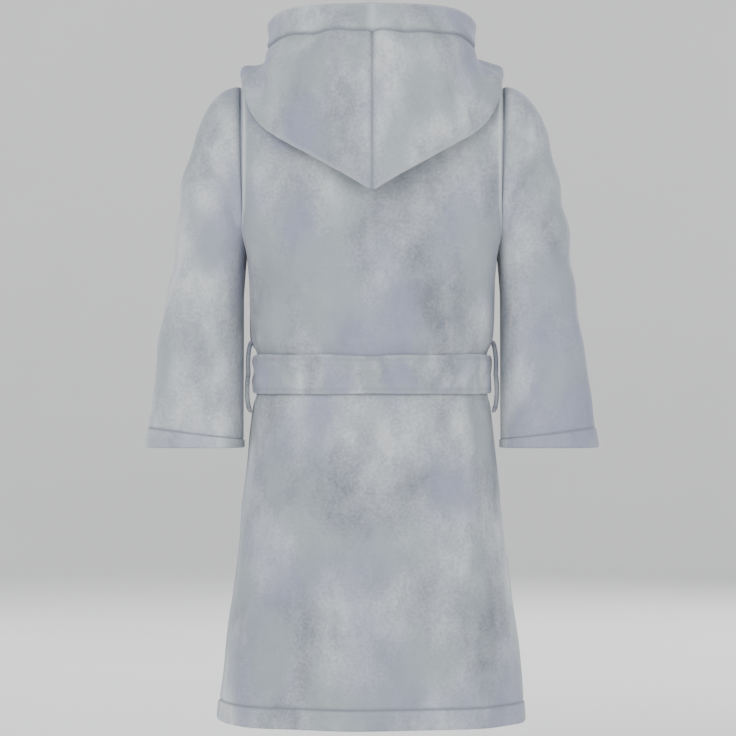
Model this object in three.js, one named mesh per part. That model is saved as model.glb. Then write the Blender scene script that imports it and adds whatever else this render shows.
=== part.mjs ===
// A child's hooded bathrobe of thick fleece, worn shape, in millimetres: +Z up, +Y back, +X the wearer's left.
// Heights are counted from the hem, and the whole robe is moved at the end so that it hangs from the origin.
import * as THREE from "three";

// Body of the robe.
const neck_height = 700; // hem to the neck point of the shoulder seam
const shoulder_drop = 35; // neck point down to the shoulder tip
const armhole_height = 175; // shoulder tip down to the armpit
const chest_half_width = 130; // middle to the side seam at the armpit
const chest_half_depth = 92; // middle to the chest
const shoulder_ease = 8; // how much wider the shoulder tips are than the armpits
const waist_pinch = 13; // how much the belt draws in each side seam
const waist_depth_pinch = 4; // how much the belt draws in the front and the back
const hem_flare = 28; // how much wider the hem is than the chest, each side
const hem_depth_flare = 18; // how much deeper the hem is than the chest
const belt_level = 0.52; // height of the belt as a share of the neck height
const roundness = 2.4; // exponent of the oval cross-section of the skirt and the waist
const chest_roundness = 3.2; // the same at the armpits, where the body is squarer
const armhole_half_depth = 50;
const armhole_curve = 0.45; // lower is a squarer armhole
const chest_curve = 0.65; // lower keeps the chest full for longer towards the shoulders
const shoulder_curve = 2.6; // higher draws the sides of the shoulders flatter
const hem_curve = 0.95; // below 1 the skirt flares a little faster under the belt

// Neck and fronts.
const neck_half_width = 62;
const back_neck_depth = 48; // how far the back neckline lies behind the shoulder seam
const back_neck_drop = 10; // how far its middle lies below the neck points
const lapel_slope = 0.415; // sideways run of the front edges for each unit they come down
const left_reach = 50; // how far the left front passes the middle
const right_reach = 35; // how far the right front passes the middle
const opening_share = 0.9; // share of the half width where each front starts to swing open

// Cloth.
const fleece = 4; // thickness of one layer
const hem_thickness = 6.4; // thickness where the edge is turned under and stitched
const stitch_thickness = 3; // thickness along a line of stitches
const hem_band = 20; // height of the turned edge
const stitch_run = 1.5; // from the turned edge to the line of stitches
const stitch_end = 4; // from the turned edge to where the cloth has its full loft again
const seam_gap = 0.3; // between two pieces sewn together
const layer_gap = 0.8; // between the two fronts where they lap
const armhole_clearance = 0.5; // of the armhole edge outside the side seam

// Sleeves.
const sleeve_drop = 378; // shoulder tip down to the cuff
const sleeve_spread = 97; // shoulder tip out to the outer edge of the cuff
const shoulder_slope = 4; // how far the top of the sleeve falls before it turns down
const sleeve_half_depth = 43;
const cuff_half_depth = 33;
const sleeve_set_back = 12; // how far the cuff hangs behind the side seam
const sleeve_body_gap = 7; // from the side seam out to the inner edge of the cuff
const armhole_gap = seam_gap + 0.5; // between the sleeve and the armhole

// Hood, which lies on the back with its edge standing up round the neck.
const hood_drop = 147; // neck point down to the tip of the hood
const hood_depth = 118; // shoulder seam back to the tip of the hood
const rim_rise = 45; // neck point up to the edge of the hood
const rim_half_width = 106;
const rim_depth = 84;
const rim_dip = 11; // how much lower the edge lies over the shoulders than at the back
const stand = 38; // height of the part that stands straight up beside the neck
const hood_band = 30; // width of the turned edge of the hood
const fold_radius = 7; // half the thickness of the rolled fold
const fold_rise = 78; // how much higher the fold lies over the shoulder than at its tip
const fold_lift = 46; // its last rise beside the shoulder tip
const fold_inset = 2; // from the shoulder tip in to the fold
const shoulder_place = 0.62; // share of the neck line that lies behind the shoulder seams
const collar_level = 0.7; // level of the bodice where the hood ends on each front
const collar_width = 0.22; // share of the half width that the hood covers where it ends
const collar_stand = 44; // how high its edge stands over the neck line at the shoulder seam
const collar_end = 6; // the same where it ends on the front
const collar_forward = 12; // how far its edge lies in front of the neck line where it ends

// Belt and small pieces.
const belt_width = 41;
const belt_thickness = 5;
const tail_length = 235;
const tail_clearance = 14; // from the skirt out to the inner tail
const tail_gap = 2.4; // between the two tails
const left_tail_shift = 4; // from the middle of the knot to the middle of each tail
const right_tail_shift = -25.5;
const knot_half_width = 17;
const knot_half_height = 23;
const knot_half_depth = 15;
const knot_clearance = 1.5; // from the knot to the front behind it
const loop_height = 76;
const loop_width = 12;
const loop_thickness = 3;
const loop_room = 3.4; // from the face of the belt out to the middle of the loop
const pocket_width = 54;
const pocket_height = 108;
const pocket_room = 8; // inner width of the pocket mouth
const pocket_across = 80; // middle of the robe to the middle of the pocket
const pocket_drop = 0.47; // share of the belt's height that the foot of a pocket lies below the belt
const pocket_slope = 12; // run from a stitched edge to where the pocket stands fully open
const hanger_width = 44;
const hanger_rise = 12;
const hanger_tape = 6; // width of the tape of the hanging loop
const hanger_thickness = 1.6;
const hanger_inset = 9.6; // from the back panel to the hanging loop
const tape_height = 11;
const tape_thickness = 1.2;
const tape_reach = 0.95; // how far the neck tape runs round each side of the neck, in radians
const label_thickness = 0.8;
const label_gap = 0.9; // from the cloth to the middle of a label or a tape
const neck_label_width = 28;
const neck_label_drop = 22;
const care_label_width = 28;
const care_label_height = 42;
const care_label_level = 0.14; // its height as a share of the neck height

// Heights and widths that follow from the sizes above.
const shoulder_height = neck_height - shoulder_drop;
const armpit_height = shoulder_height - armhole_height;
const belt_height = belt_level * neck_height;
const waist_half_width = chest_half_width - waist_pinch;
const waist_half_depth = chest_half_depth - waist_depth_pinch;
const shoulder_half_width = chest_half_width + shoulder_ease;
const half_fleece = fleece / 2;
const half_seam = seam_gap / 2;
const lap_shift = (hem_thickness + layer_gap) / 2;
const lap_start = 0.84 * waist_half_width;
const lap_run = 0.34 * waist_half_width;

// Numbers of strips each piece is divided into.
const back_columns = 20;
const front_columns = 14;
const skirt_rows = 7;
const waist_rows = 4;
const bodice_rows = 8;
const sleeve_sides = 20;
const sleeve_rows = 12;

const robe = new THREE.Group();
robe.name = "bathrobe";
const vec = (x, y, z) => new THREE.Vector3(x, y, z);
const mix = THREE.MathUtils.lerp;
const rise = (t) => THREE.MathUtils.smoothstep(t, 0, 1);
const curved = (value, power) => Math.sign(value) * Math.pow(Math.abs(value), power);
const steps = (count) => Array.from({ length: count + 1 }, (_, i) => i / count);

// Finishes, one material for each piece.
const finishes = {
  fleece: { color: 0xb4b8bc, roughness: 0.95 },
  tape: { color: 0xa4a8ae, roughness: 0.85 },
  label: { color: 0xf2f2ee, roughness: 0.7 },
};

// Adds one closed piece to the robe and turns its faces outward.
function add_piece(name, positions, faces, finish) {
  let volume = 0;
  const corner = (k) => positions[k];
  for (const [a, b, c] of faces) {
    volume += corner(a).dot(corner(b).clone().cross(corner(c)));
  }
  const index = volume < 0 ? faces.map(([a, b, c]) => [a, c, b]) : faces;
  const geometry = new THREE.BufferGeometry().setFromPoints(positions);
  geometry.setIndex(index.flat());
  geometry.computeVertexNormals();
  const material = new THREE.MeshStandardMaterial({ ...finishes[finish], flatShading: true });
  const mesh = new THREE.Mesh(geometry, material);
  mesh.name = name;
  robe.add(mesh);
  return mesh;
}

// Direction square to a grid of points at one of them.
function square_to(grid, i, j, ring) {
  const rows = grid.length;
  const columns = grid[0].length;
  const before = ring ? (j + columns - 1) % columns : Math.max(j - 1, 0);
  const after = ring ? (j + 1) % columns : Math.min(j + 1, columns - 1);
  const along = grid[i][after].clone().sub(grid[i][before]);
  const up = grid[Math.min(i + 1, rows - 1)][j].clone().sub(grid[Math.max(i - 1, 0)][j]);
  return along.cross(up).normalize();
}

// Makes a layer of cloth round a grid of points: thick(i, j) is its thickness, and flatten(normal, i, j)
// may turn the direction of the thickness so that a seam ends in a flat plane.
function sheet(name, grid, { thick, flatten, ring = false, finish = "fleece" }) {
  const rows = grid.length;
  const columns = grid[0].length;
  const positions = [];
  for (const side of [1, -1]) {
    grid.forEach((row, i) => {
      row.forEach((point, j) => {
        const normal = square_to(grid, i, j, ring);
        if (flatten) {
          flatten(normal, i, j);
        }
        normal.normalize();
        positions.push(point.clone().addScaledVector(normal, (side * thick(i, j)) / 2));
      });
    });
  }
  const at = (side, i, j) => side * rows * columns + i * columns + (j % columns);
  const faces = [];
  const quad = (a, b, c, d) => {
    faces.push([a, b, c], [a, c, d]);
  };
  const last = ring ? columns : columns - 1;
  for (let i = 0; i < rows - 1; i += 1) {
    for (let j = 0; j < last; j += 1) {
      quad(at(0, i, j), at(0, i, j + 1), at(0, i + 1, j + 1), at(0, i + 1, j));
      quad(at(1, i, j), at(1, i + 1, j), at(1, i + 1, j + 1), at(1, i, j + 1));
    }
  }
  for (let j = 0; j < last; j += 1) {
    quad(at(1, 0, j), at(1, 0, j + 1), at(0, 0, j + 1), at(0, 0, j));
    quad(at(0, rows - 1, j), at(0, rows - 1, j + 1), at(1, rows - 1, j + 1), at(1, rows - 1, j));
  }
  if (!ring) {
    for (let i = 0; i < rows - 1; i += 1) {
      quad(at(0, i, 0), at(0, i + 1, 0), at(1, i + 1, 0), at(1, i, 0));
      quad(at(1, i, last), at(1, i + 1, last), at(0, i + 1, last), at(0, i, last));
    }
  }
  return add_piece(name, positions, faces, finish);
}

// ---- The skin of the robe: a skirt and waist below the armpits, a bodice above them ----

// A half size that goes from the hem to the waist and on to the chest.
function grown(height, hem, waist, chest) {
  if (height < belt_height) {
    return waist + (hem - waist) * Math.pow(1 - Math.max(height, 0) / belt_height, hem_curve);
  }
  return mix(waist, chest, Math.min((height - belt_height) / (armpit_height - belt_height), 1));
}

const half_width = (height) =>
  grown(height, chest_half_width + hem_flare, waist_half_width, chest_half_width);
const half_depth = (height) =>
  grown(height, chest_half_depth + hem_depth_flare, waist_half_depth, chest_half_depth);
const oval = (share, power) => Math.pow(Math.max(1 - Math.pow(Math.abs(share), power), 0), 1 / power);
const roundness_at = (height) =>
  mix(roundness, chest_roundness, rise((height - belt_height) / (armpit_height - belt_height)));

// A point of the skirt and waist: share runs from 1 at the left side seam to -1 at the right one.
function skirt_point(share, height, facing) {
  const depth = half_depth(height) * oval(share, roundness_at(height));
  return vec(half_width(height) * share, facing * depth, height);
}

// Height of the shoulder seam and of the back neckline above one place across.
function top_height(across) {
  const out = Math.abs(across);
  if (out > neck_half_width) {
    const run = (out - neck_half_width) / (shoulder_half_width - neck_half_width);
    return mix(neck_height, shoulder_height, run);
  }
  return neck_height;
}

// Across the armhole edge, which starts a little outside the side seam so that the sleeve clears it.
const armhole_start = chest_half_width + half_fleece + armhole_clearance;
const armhole_turn = 0.12; // level where the edge has come out from the side seam to the armhole
function armhole_across(level) {
  const drawn_in = (armhole_start - chest_half_width) * (1 - rise(level / armhole_turn));
  return mix(armhole_start, shoulder_half_width, level) - drawn_in;
}
const armhole_depth = (level) =>
  armhole_half_depth * Math.pow(Math.max(4 * level * (1 - level), 0), armhole_curve);

// A point of the bodice: level runs from 0 at the armpits to 1 at the shoulder seams.
function bodice_point(share, level, facing) {
  const across = armhole_across(level) * share;
  const inside = Math.min(Math.abs(across) / neck_half_width, 1);
  const neck = facing > 0 ? Math.sqrt(1 - inside * inside) : 0;
  const fall = Math.pow(Math.max(Math.cos((level * Math.PI) / 2), 0), chest_curve);
  const middle = chest_half_depth * fall + back_neck_depth * neck * (1 - fall);
  const spread = Math.pow(oval(share, chest_roundness), mix(1, shoulder_curve, rise(level * 3)));
  const depth = mix(armhole_depth(level), middle, spread);
  const top = top_height(across) - (facing > 0 ? back_neck_drop * neck : 0);
  return vec(across, facing * depth, mix(armpit_height, top, level));
}

// Shares across a row, from one side seam to an edge, closer together near the seam.
function shares(from, to, count) {
  const angle = (share) => Math.acos(curved(share, roundness / 2));
  return steps(count).map((t) => curved(Math.cos(mix(angle(from), angle(to), t)), 2 / roundness));
}

// Heights of the rows of a skirt piece, with two rows for the stitch line above the turned edge.
const hem_levels = [0, hem_band, hem_band + stitch_run, hem_band + stitch_end];
const belt_levels = steps(2).map((t) => belt_height + belt_width * (t - 0.5));
const skirt_levels = [
  ...hem_levels,
  ...steps(skirt_rows).slice(1, -1).map((t) => mix(hem_band + stitch_end, belt_levels[0], t)),
  ...belt_levels,
  ...steps(waist_rows).slice(1).map((t) => mix(belt_levels[2], armpit_height, t)),
];
function hem_thick(i) {
  if (i < 2) {
    return i === 0 ? hem_thickness - 1 : hem_thickness;
  }
  return i === 2 ? stitch_thickness : fleece;
}

// Leaves only the directions that lie in the plane of a side or shoulder seam, or of an armhole.
const armhole_normal = vec(armhole_height, 0, armhole_start - shoulder_half_width).normalize();
function in_armhole_plane(normal, side) {
  const across = vec(side * armhole_normal.x, 0, armhole_normal.z);
  normal.addScaledVector(across, -normal.dot(across));
}

// ---- Back panel ----
{
  const row_shares = shares(1, -1, back_columns);
  const grid = skirt_levels.map((z) => row_shares.map((s) => skirt_point(s, z, 1)));
  const bodice = steps(bodice_rows).slice(1);
  grid.push(...bodice.map((w) => row_shares.map((s) => bodice_point(s, w, 1))));
  grid.forEach((row) => {
    row.forEach((point) => {
      point.y = Math.max(point.y, half_seam);
    });
  });
  const top = grid.length - 1;
  sheet("back_panel", grid, {
    thick: hem_thick,
    flatten: (normal, i, j) => {
      const edge = j === 0 || j === back_columns;
      if (edge && i >= skirt_levels.length) {
        in_armhole_plane(normal, j === 0 ? 1 : -1);
      }
      const on_shoulder = i === top && Math.abs(grid[i][j].x) >= neck_half_width - 1;
      if (on_shoulder || (edge && i < skirt_levels.length)) {
        normal.y = 0;
      }
      if (i === top && !on_shoulder) {
        normal.z = 0;
      }
    },
  });
}

// ---- Fronts: each is one panel in the cloth, divided here so that its lower part can swing open ----

// How far across the free edge of a front lies at one height, towards the far side.
function free_edge(height, reach) {
  return Math.max(-reach, neck_half_width - (neck_height - height) * lapel_slope);
}

// How far a front lies off the skin where the two fronts lap.
function lap(own_across, level) {
  return lap_shift * rise((lap_start - own_across) / lap_run) * (1 - rise((level - 0.35) / 0.4));
}

// A point of a front: side is 1 for the left and -1 for the right, out is 1 for the one that lies outside.
function front_point(side, share, height, level) {
  const point = level > 0 ? bodice_point(share, level, -1) : skirt_point(share, height, -1);
  point.y -= side * lap(point.x, level);
  point.y = Math.min(point.y, -half_seam);
  point.x *= side;
  return point;
}

for (const side of [1, -1]) {
  const name = side > 0 ? "left" : "right";
  const reach = side > 0 ? left_reach : right_reach;
  const levels = [...skirt_levels];
  levels[levels.length - 1] -= half_seam;
  const top = levels.length - 1;
  const strip = (from, to, count) =>
    levels.map((z) => shares(from, to(z), count).map((s) => front_point(side, s, z, 0)));
  sheet(`${name}_front_side`, strip(1, () => opening_share + 0.001, 4), {
    thick: hem_thick,
    flatten: (normal, i, j) => {
      if (j === 0) {
        normal.y = 0;
      }
      if (i === top) {
        normal.z = 0;
      }
    },
  });
  const flap = strip(opening_share - 0.002, (z) => free_edge(z, reach) / half_width(z), front_columns);
  sheet(`${name}_front_flap`, flap, {
    thick: hem_thick,
    flatten: (normal, i) => {
      if (i === top) {
        normal.z = 0;
      }
    },
  });
  const first = half_seam / armhole_height;
  const upper = steps(bodice_rows).map((t) => {
    const w = mix(first, 1, t);
    const edge = neck_half_width - (neck_height - armpit_height) * (1 - w) * lapel_slope;
    const row = shares(1, edge / armhole_across(w), front_columns);
    return row.map((s) => front_point(side, s, 0, w));
  });
  sheet(`${name}_front_upper`, upper, {
    thick: () => fleece,
    flatten: (normal, i, j) => {
      if (j === 0 && i > 0) {
        in_armhole_plane(normal, side);
      }
      if (i === 0) {
        normal.z = 0;
      }
      if (i === bodice_rows || (i === 0 && j === 0)) {
        normal.y = 0;
      }
    },
  });
}

// ---- Sleeves ----
for (const side of [1, -1]) {
  const name = side > 0 ? "left" : "right";
  const tip = vec(shoulder_half_width + armhole_gap, 0, shoulder_height);
  const over = new THREE.CubicBezierCurve3(
    tip,
    vec(tip.x + 0.58 * sleeve_spread, 0, tip.z - shoulder_slope),
    vec(tip.x + 0.63 * sleeve_spread, 0, tip.z - 0.36 * sleeve_drop),
    vec(tip.x + sleeve_spread, 0, tip.z - sleeve_drop),
  );
  const armpit = vec(armhole_start + armhole_gap, 0, armpit_height);
  const inner_end = vec(chest_half_width + sleeve_body_gap, 0, tip.z - sleeve_drop);
  const length = over.getLength();
  const band = 1 - hem_band / length;
  const above_band = band - (stitch_end + 1) / length;
  const stations = [
    ...steps(sleeve_rows).slice(0, -1).map((t) => t * above_band),
    above_band,
    band - (stitch_run + 1) / length,
    band,
    1,
  ];
  const grid = stations.map((t) => {
    const outer = over.getPointAt(t);
    const along = Math.pow(Math.min(t * 6, 1), 0.6); // the inner edge leaves the armhole in a short curve
    const down = Math.pow(t, 0.85);
    const inner = vec(mix(armpit.x, inner_end.x, along), 0, mix(armpit.z, inner_end.z, down));
    const middle = outer.clone().add(inner).multiplyScalar(0.5);
    const arm = outer.clone().sub(middle);
    const depth = t < 0.5
      ? mix(armhole_half_depth, sleeve_half_depth, rise(2 * t))
      : mix(sleeve_half_depth, cuff_half_depth, rise(2 * t - 1));
    return steps(sleeve_sides).slice(0, -1).map((u) => {
      const turn = u * 2 * Math.PI;
      const around = mix(0.9, 1, rise(t));
      const point = middle.clone().addScaledVector(arm, Math.cos(turn));
      point.y = depth * curved(Math.sin(turn), around) + sleeve_set_back * rise(t);
      point.x *= side;
      return point;
    });
  });
  const cuff = stations.length - 1;
  sheet(`${name}_sleeve`, grid, {
    ring: true,
    thick: (i) => {
      if (i >= cuff - 1) {
        return i === cuff ? hem_thickness - 1 : hem_thickness;
      }
      return i === cuff - 2 ? stitch_thickness : fleece;
    },
    flatten: (normal, i) => {
      if (i === 0) {
        in_armhole_plane(normal, side);
      }
    },
  });
}

// ---- Hood: each half runs from its edge over the fold and back to the neck seam ----

// Height of the fold at one place: out is 0 at the middle of the back and 1 over the shoulder.
const fold_level = (out) =>
  neck_height - hood_drop + fold_rise * out + fold_lift * Math.pow(out, 14) + 1;

// A point at one distance off the bodice.
function off_bodice(share, level, facing, distance) {
  const small = 0.01;
  const at = bodice_point(share, level, facing);
  const low = Math.min(level, 0.97);
  const foot = bodice_point(share, low, facing);
  const across = bodice_point(share + (share > 0.5 ? -small : small), low, facing).sub(foot);
  const up = bodice_point(share, low - small, facing).sub(foot);
  const normal = across.cross(up).normalize();
  if (facing * normal.y < 0) {
    normal.negate();
  }
  if (level > 0.999 && Math.abs(at.x) > neck_half_width - 2) {
    normal.y = 0;
    normal.normalize();
  }
  return at.addScaledVector(normal, distance);
}

const edge_share = (level) =>
  (neck_half_width - (neck_height - armpit_height) * (1 - level) * lapel_slope) / armhole_across(level);

// Where the neck seam and the fold lie at one place along the neck: shares across, levels and facing.
function hood_place(p) {
  if (p <= shoulder_place) {
    const turn = (p / shoulder_place) * (Math.PI / 2);
    const out = Math.sin(turn);
    const fold_across = (shoulder_half_width - fold_inset) * out;
    const fold_height = fold_level(out);
    const inside = Math.sqrt(Math.max(1 - Math.pow(fold_across / neck_half_width, 2), 0));
    const top = top_height(fold_across) - back_neck_drop * inside;
    const level = Math.min((fold_height - armpit_height) / (top - armpit_height), 1);
    const skin = bodice_point(fold_across / armhole_across(level), level, 1).y;
    const inward = Math.max(Math.cos(turn), 0);
    const off = skin + 2.2 * fold_radius * Math.pow(inward, 0.3);
    const depth = inward < 0.01 ? 0 : Math.max(hood_depth * Math.pow(inward, 1.2), off);
    return {
      facing: 1,
      turn,
      neck: { share: (neck_half_width * out) / shoulder_half_width, level: 1 },
      under: { share: fold_across / armhole_across(level), level },
      fold: vec(fold_across, depth, fold_height),
    };
  }
  const t = (p - shoulder_place) / (1 - shoulder_place);
  const level = mix(1, collar_level, t);
  const start = (shoulder_half_width - fold_inset) / shoulder_half_width;
  const share = mix(start, edge_share(level) + collar_width, Math.pow(t, 0.8));
  const fold = off_bodice(share, level, -1, 2.5 * fleece);
  return {
    facing: -1,
    t,
    neck: { share: edge_share(level), level },
    under: { share, level },
    fold: t === 0 ? vec(fold.x, 0, fold_level(1)) : fold,
  };
}

// Edge of the hood, standing up round the neck.
function rim_line(place, neck) {
  if (place.facing > 0) {
    const out = Math.sin(place.turn);
    const up = neck_height + rim_rise - rim_dip * Math.pow(out, 8);
    return vec(rim_half_width * out, rim_depth * Math.cos(place.turn), up);
  }
  const forward = Math.pow(place.t, 0.7);
  const base = neck.clone().lerp(place.fold, 0.58);
  base.z += mix(collar_stand, collar_end, forward);
  base.y -= collar_forward * forward;
  return base;
}

// The line from the edge of the hood round the fold to the neck seam at one place.
function hood_profile(p) {
  const place = hood_place(p);
  const rest = fleece + seam_gap + 0.2;
  const neck = off_bodice(place.neck.share, place.neck.level, place.facing, rest);
  const rim = rim_line(place, neck);
  const fold = place.fold;
  const up_outer = rim.clone().sub(fold);
  const up_inner = neck.clone().sub(fold);
  const inward = up_outer.clone().normalize().add(up_inner.clone().normalize()).normalize();
  const apart = rim.clone().sub(neck);
  apart.addScaledVector(inward, -apart.dot(inward)).normalize();
  const radius = Math.min(fold_radius, 0.2 * up_outer.length());
  const outer = fold.clone().addScaledVector(inward, radius).addScaledVector(apart, radius);
  const inner = fold.clone().addScaledVector(inward, radius).addScaledVector(apart, -radius);
  const mid_outer = rim.clone().lerp(outer, 0.5).addScaledVector(apart, 0.06 * up_outer.length());
  const upright = place.facing > 0 ? Math.sin(place.turn) : 1 - Math.pow(place.t, 0.7);
  mid_outer.lerp(rim.clone().add(vec(-1, 0, -stand)), Math.pow(upright, 3));
  const first = inner.clone().sub(bodice_point(place.under.share, place.under.level, place.facing));
  const back = [0.25, 0.5, 0.75, 1].map((u) => {
    const share = mix(place.under.share, place.neck.share, u);
    const level = mix(place.under.level, place.neck.level, u);
    const skin = bodice_point(share, level, place.facing);
    const last = off_bodice(share, level, place.facing, rest).sub(skin);
    return skin.add(first.clone().lerp(last, rise(u))).add(vec(0, 0, 3 * Math.sin(u * Math.PI)));
  });
  return new THREE.CatmullRomCurve3([rim, mid_outer, outer, fold, inner, ...back]);
}

// Rows of a hood piece between two places along the neck line.
function hood_grid(from, to, columns, side) {
  return steps(columns).map((t) => {
    const p = mix(from, to, t);
    const curve = hood_profile(p);
    const length = curve.getLength();
    const band = Math.min(hood_band, 0.3 * length) / length;
    const places = [0, band, band + 0.008, band + 0.016];
    places.push(...steps(11).slice(1).map((q) => mix(band + 0.016, 1, q)));
    return places.map((q) => {
      const point = curve.getPointAt(q);
      point.x *= side;
      return point;
    });
  });
}

function band_thick(i, j) {
  if (j < 2) {
    return hem_thickness - 0.4;
  }
  return j === 2 ? stitch_thickness : fleece;
}

for (const side of [1, -1]) {
  const name = side > 0 ? "left" : "right";
  const back = hood_grid(0, shoulder_place, 10, side);
  const flat = (row, y) => row.forEach((point) => {
    point.y = y;
  });
  back[0].forEach((point) => {
    point.x = side * half_seam;
  });
  flat(back[back.length - 1], half_seam);
  sheet(`hood_${name}_panel`, back, {
    thick: band_thick,
    flatten: (normal, i) => {
      if (i === 0) {
        normal.x = 0;
      }
      if (i === back.length - 1) {
        normal.y = 0;
      }
    },
  });
  const front = hood_grid(shoulder_place, 1, 6, side);
  flat(front[0], -half_seam);
  sheet(`hood_${name}_front_end`, front, {
    thick: band_thick,
    flatten: (normal, i) => {
      if (i === 0) {
        normal.y = 0;
      }
    },
  });
}

// ---- Belt, loops, pockets and labels, which all lie at a set distance off the skin ----

// A point off the lower skin of the robe; facing is 1 at the back and -1 at the front.
function off_skin(share, height, facing, distance) {
  const small = 0.002;
  const at = skirt_point(share, height, facing);
  const up = skirt_point(share, height + 1, facing).sub(at);
  const one = skirt_point(Math.min(share + small, 1), height, facing);
  const two = skirt_point(Math.max(share - small, -1), height, facing);
  const normal = one.sub(two).cross(up).normalize();
  if (normal.x * at.x + normal.y * at.y < 0) {
    normal.negate();
  }
  return at.addScaledVector(normal, distance);
}

const sag = 0.8; // room for the flat faces of the skin behind a piece that lies on it
const belt_off = half_fleece + seam_gap + belt_thickness / 2;
{
  const round_back = shares(1, -1, back_columns).map((s) => [s, 1]);
  const on_front = shares(1, opening_share + 0.001, 4).slice(1).map((s) => [s, -1]);
  const across = [...on_front.reverse(), ...round_back, ...on_front.map(([s]) => [-s, -1]).reverse()];
  const grid = belt_levels.map((z) =>
    across.map(([s, facing], j) => {
      const point = off_skin(s, z, facing, belt_off);
      return Math.abs(s) === 1 ? point.setY(0) : point;
    }),
  );
  sheet("belt_back_run", grid, { thick: () => belt_thickness });
}

const knot_across = -left_reach + 2; // the knot sits at the free edge of the left front

// A run of the belt over one front flap, up to the knot, in or out with the lap of that front.
const run_columns = 12;
for (const side of [1, -1]) {
  const name = side > 0 ? "left" : "right";
  const stop = side > 0
    ? (knot_across + knot_half_width + seam_gap) / waist_half_width
    : -(knot_across - knot_half_width - seam_gap) / waist_half_width;
  const grid = belt_levels.map((z) =>
    shares(opening_share - 0.002, stop, run_columns).map((s) => {
      const point = off_skin(s, z, -1, belt_off + sag);
      point.y = Math.min(point.y - side * lap(half_width(z) * s, 0), -half_seam);
      point.x *= side;
      return point;
    }),
  );
  sheet(`belt_${name}_run`, grid, {
    thick: () => belt_thickness,
    flatten: (normal, i, j) => {
      if (j === run_columns) {
        normal.x = 0;
      }
    },
  });
}

// Knot: a soft rounded block in front of the belt.
const knot_share = knot_across / waist_half_width;
const knot_face = skirt_point(knot_share, belt_height, -1).y - lap_shift - half_fleece;
const knot_middle = vec(knot_across, knot_face - knot_half_depth - knot_clearance, belt_height);
{
  const ball = new THREE.SphereGeometry(1, 14, 10);
  const corners = ball.getAttribute("position");
  const positions = [];
  const lookup = new Map();
  const index = [];
  for (let k = 0; k < corners.count; k += 1) {
    const place = vec(corners.getX(k), corners.getY(k), corners.getZ(k));
    const key = place.toArray().map((value) => Math.round(value * 1e4)).join();
    if (!lookup.has(key)) {
      lookup.set(key, positions.length);
      positions.push(
        vec(
          knot_middle.x + knot_half_width * curved(place.x, 0.75),
          knot_middle.y + knot_half_depth * curved(place.z, 0.75),
          knot_middle.z + knot_half_height * curved(place.y, 0.75),
        ),
      );
    }
    index.push(lookup.get(key));
  }
  const faces = [];
  const triangles = ball.getIndex().array;
  for (let k = 0; k < triangles.length; k += 3) {
    const face = [index[triangles[k]], index[triangles[k + 1]], index[triangles[k + 2]]];
    if (new Set(face).size === 3) {
      faces.push(face);
    }
  }
  add_piece("belt_knot", positions, faces, "fleece");
}

// Tails: flat strips that hang from the knot in two planes beside the skirt, one in front of the other.
const tail_top = belt_height - knot_half_height + 0.2;
const tail_place = knot_across - 17;
const tail_neck = 11; // half width of the rounded top of each tail, which turns in the knot
const skirt_out = half_depth(tail_top - tail_length) - half_depth(tail_top);
const tail_lean = skirt_out / tail_length; // outward run of the skirt for each unit down
function tail(name, across, off, raised) {
  const low = skirt_point(tail_place / half_width(tail_top), tail_top, -1);
  const next = skirt_point((tail_place - 1) / half_width(tail_top), tail_top, -1);
  const tilt = low.y - next.y;
  const plumb = (tail_lean * tilt) / (1 + tilt * tilt); // sideways run of a strip that hangs straight
  const places = [0, 0.3 * tail_neck, tail_neck];
  places.push(...steps(5).slice(1).map((t) => mix(tail_neck, tail_length, t)));
  const grid = places.map((down) =>
    [-1, 0, 1].map((u) => {
      const near = Math.max(tail_neck - down, 0) * 0.95;
      const pinched = Math.sqrt(tail_neck * tail_neck - near * near);
      const half = mix(pinched, belt_width / 2, rise((down - tail_neck) / belt_width));
      const sideways = u * half + (down - tail_neck) * plumb;
      const x = across + sideways;
      const y = low.y - lap_shift - off + (x - tail_place) * tilt - down * tail_lean;
      return vec(x, y, tail_top + raised - down);
    }),
  );
  const thick = (i) => (i === places.length - 1 ? belt_thickness + 1 : belt_thickness);
  return sheet(name, grid, { thick });
}
const inner_tail = tail_clearance + belt_thickness / 2; // from the skirt to the middle of each tail
const outer_tail = inner_tail + belt_thickness + tail_gap;
tail("belt_left_tail", knot_across + left_tail_shift, outer_tail, 1.0);
tail("belt_right_tail", knot_across + right_tail_shift, inner_tail, 0.6);

// Belt loops at the side seams, wide enough for the belt to slide.
for (const side of [1, -1]) {
  const name = side > 0 ? "left" : "right";
  const low = belt_height - 0.53 * loop_height;
  const rest = half_fleece + seam_gap + loop_thickness / 2;
  const grid = steps(12).map((t) => {
    const z = low + t * loop_height;
    const bulge = rest + (belt_thickness + loop_room) * Math.pow(Math.sin(Math.PI * t), 0.35);
    const distance = t === 0 || t === 1 ? rest : bulge;
    return [0, 1].map((u) => {
      const depth = 2 + u * loop_width;
      const point = off_skin(oval(depth / half_depth(z), roundness_at(z)), z, 1, distance);
      point.x *= side;
      return point;
    });
  });
  sheet(`${name}_belt_loop`, grid, { thick: () => loop_thickness });
}

// Patch pockets on the fronts, open along the top.
const pocket_low = (1 - pocket_drop) * belt_height;
for (const side of [1, -1]) {
  const name = side > 0 ? "left" : "right";
  const grid = steps(8).map((v) =>
    steps(8).map((u) => {
      const z = pocket_low + v * pocket_height;
      const across = pocket_across + (u - 0.5) * pocket_width;
      const from_edge = Math.min(u, 1 - u) * pocket_width;
      const full = rise(Math.min(from_edge, v * pocket_height) / pocket_slope);
      const off = half_fleece + seam_gap + sag + half_fleece + pocket_room * full;
      const point = off_skin(across / half_width(z), z, -1, off);
      point.y -= side * lap(across, 0);
      point.x *= side;
      return point;
    }),
  );
  sheet(`${name}_pocket`, grid, { thick: (i) => (i >= 7 ? fleece + 1 : fleece) });
}

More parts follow.
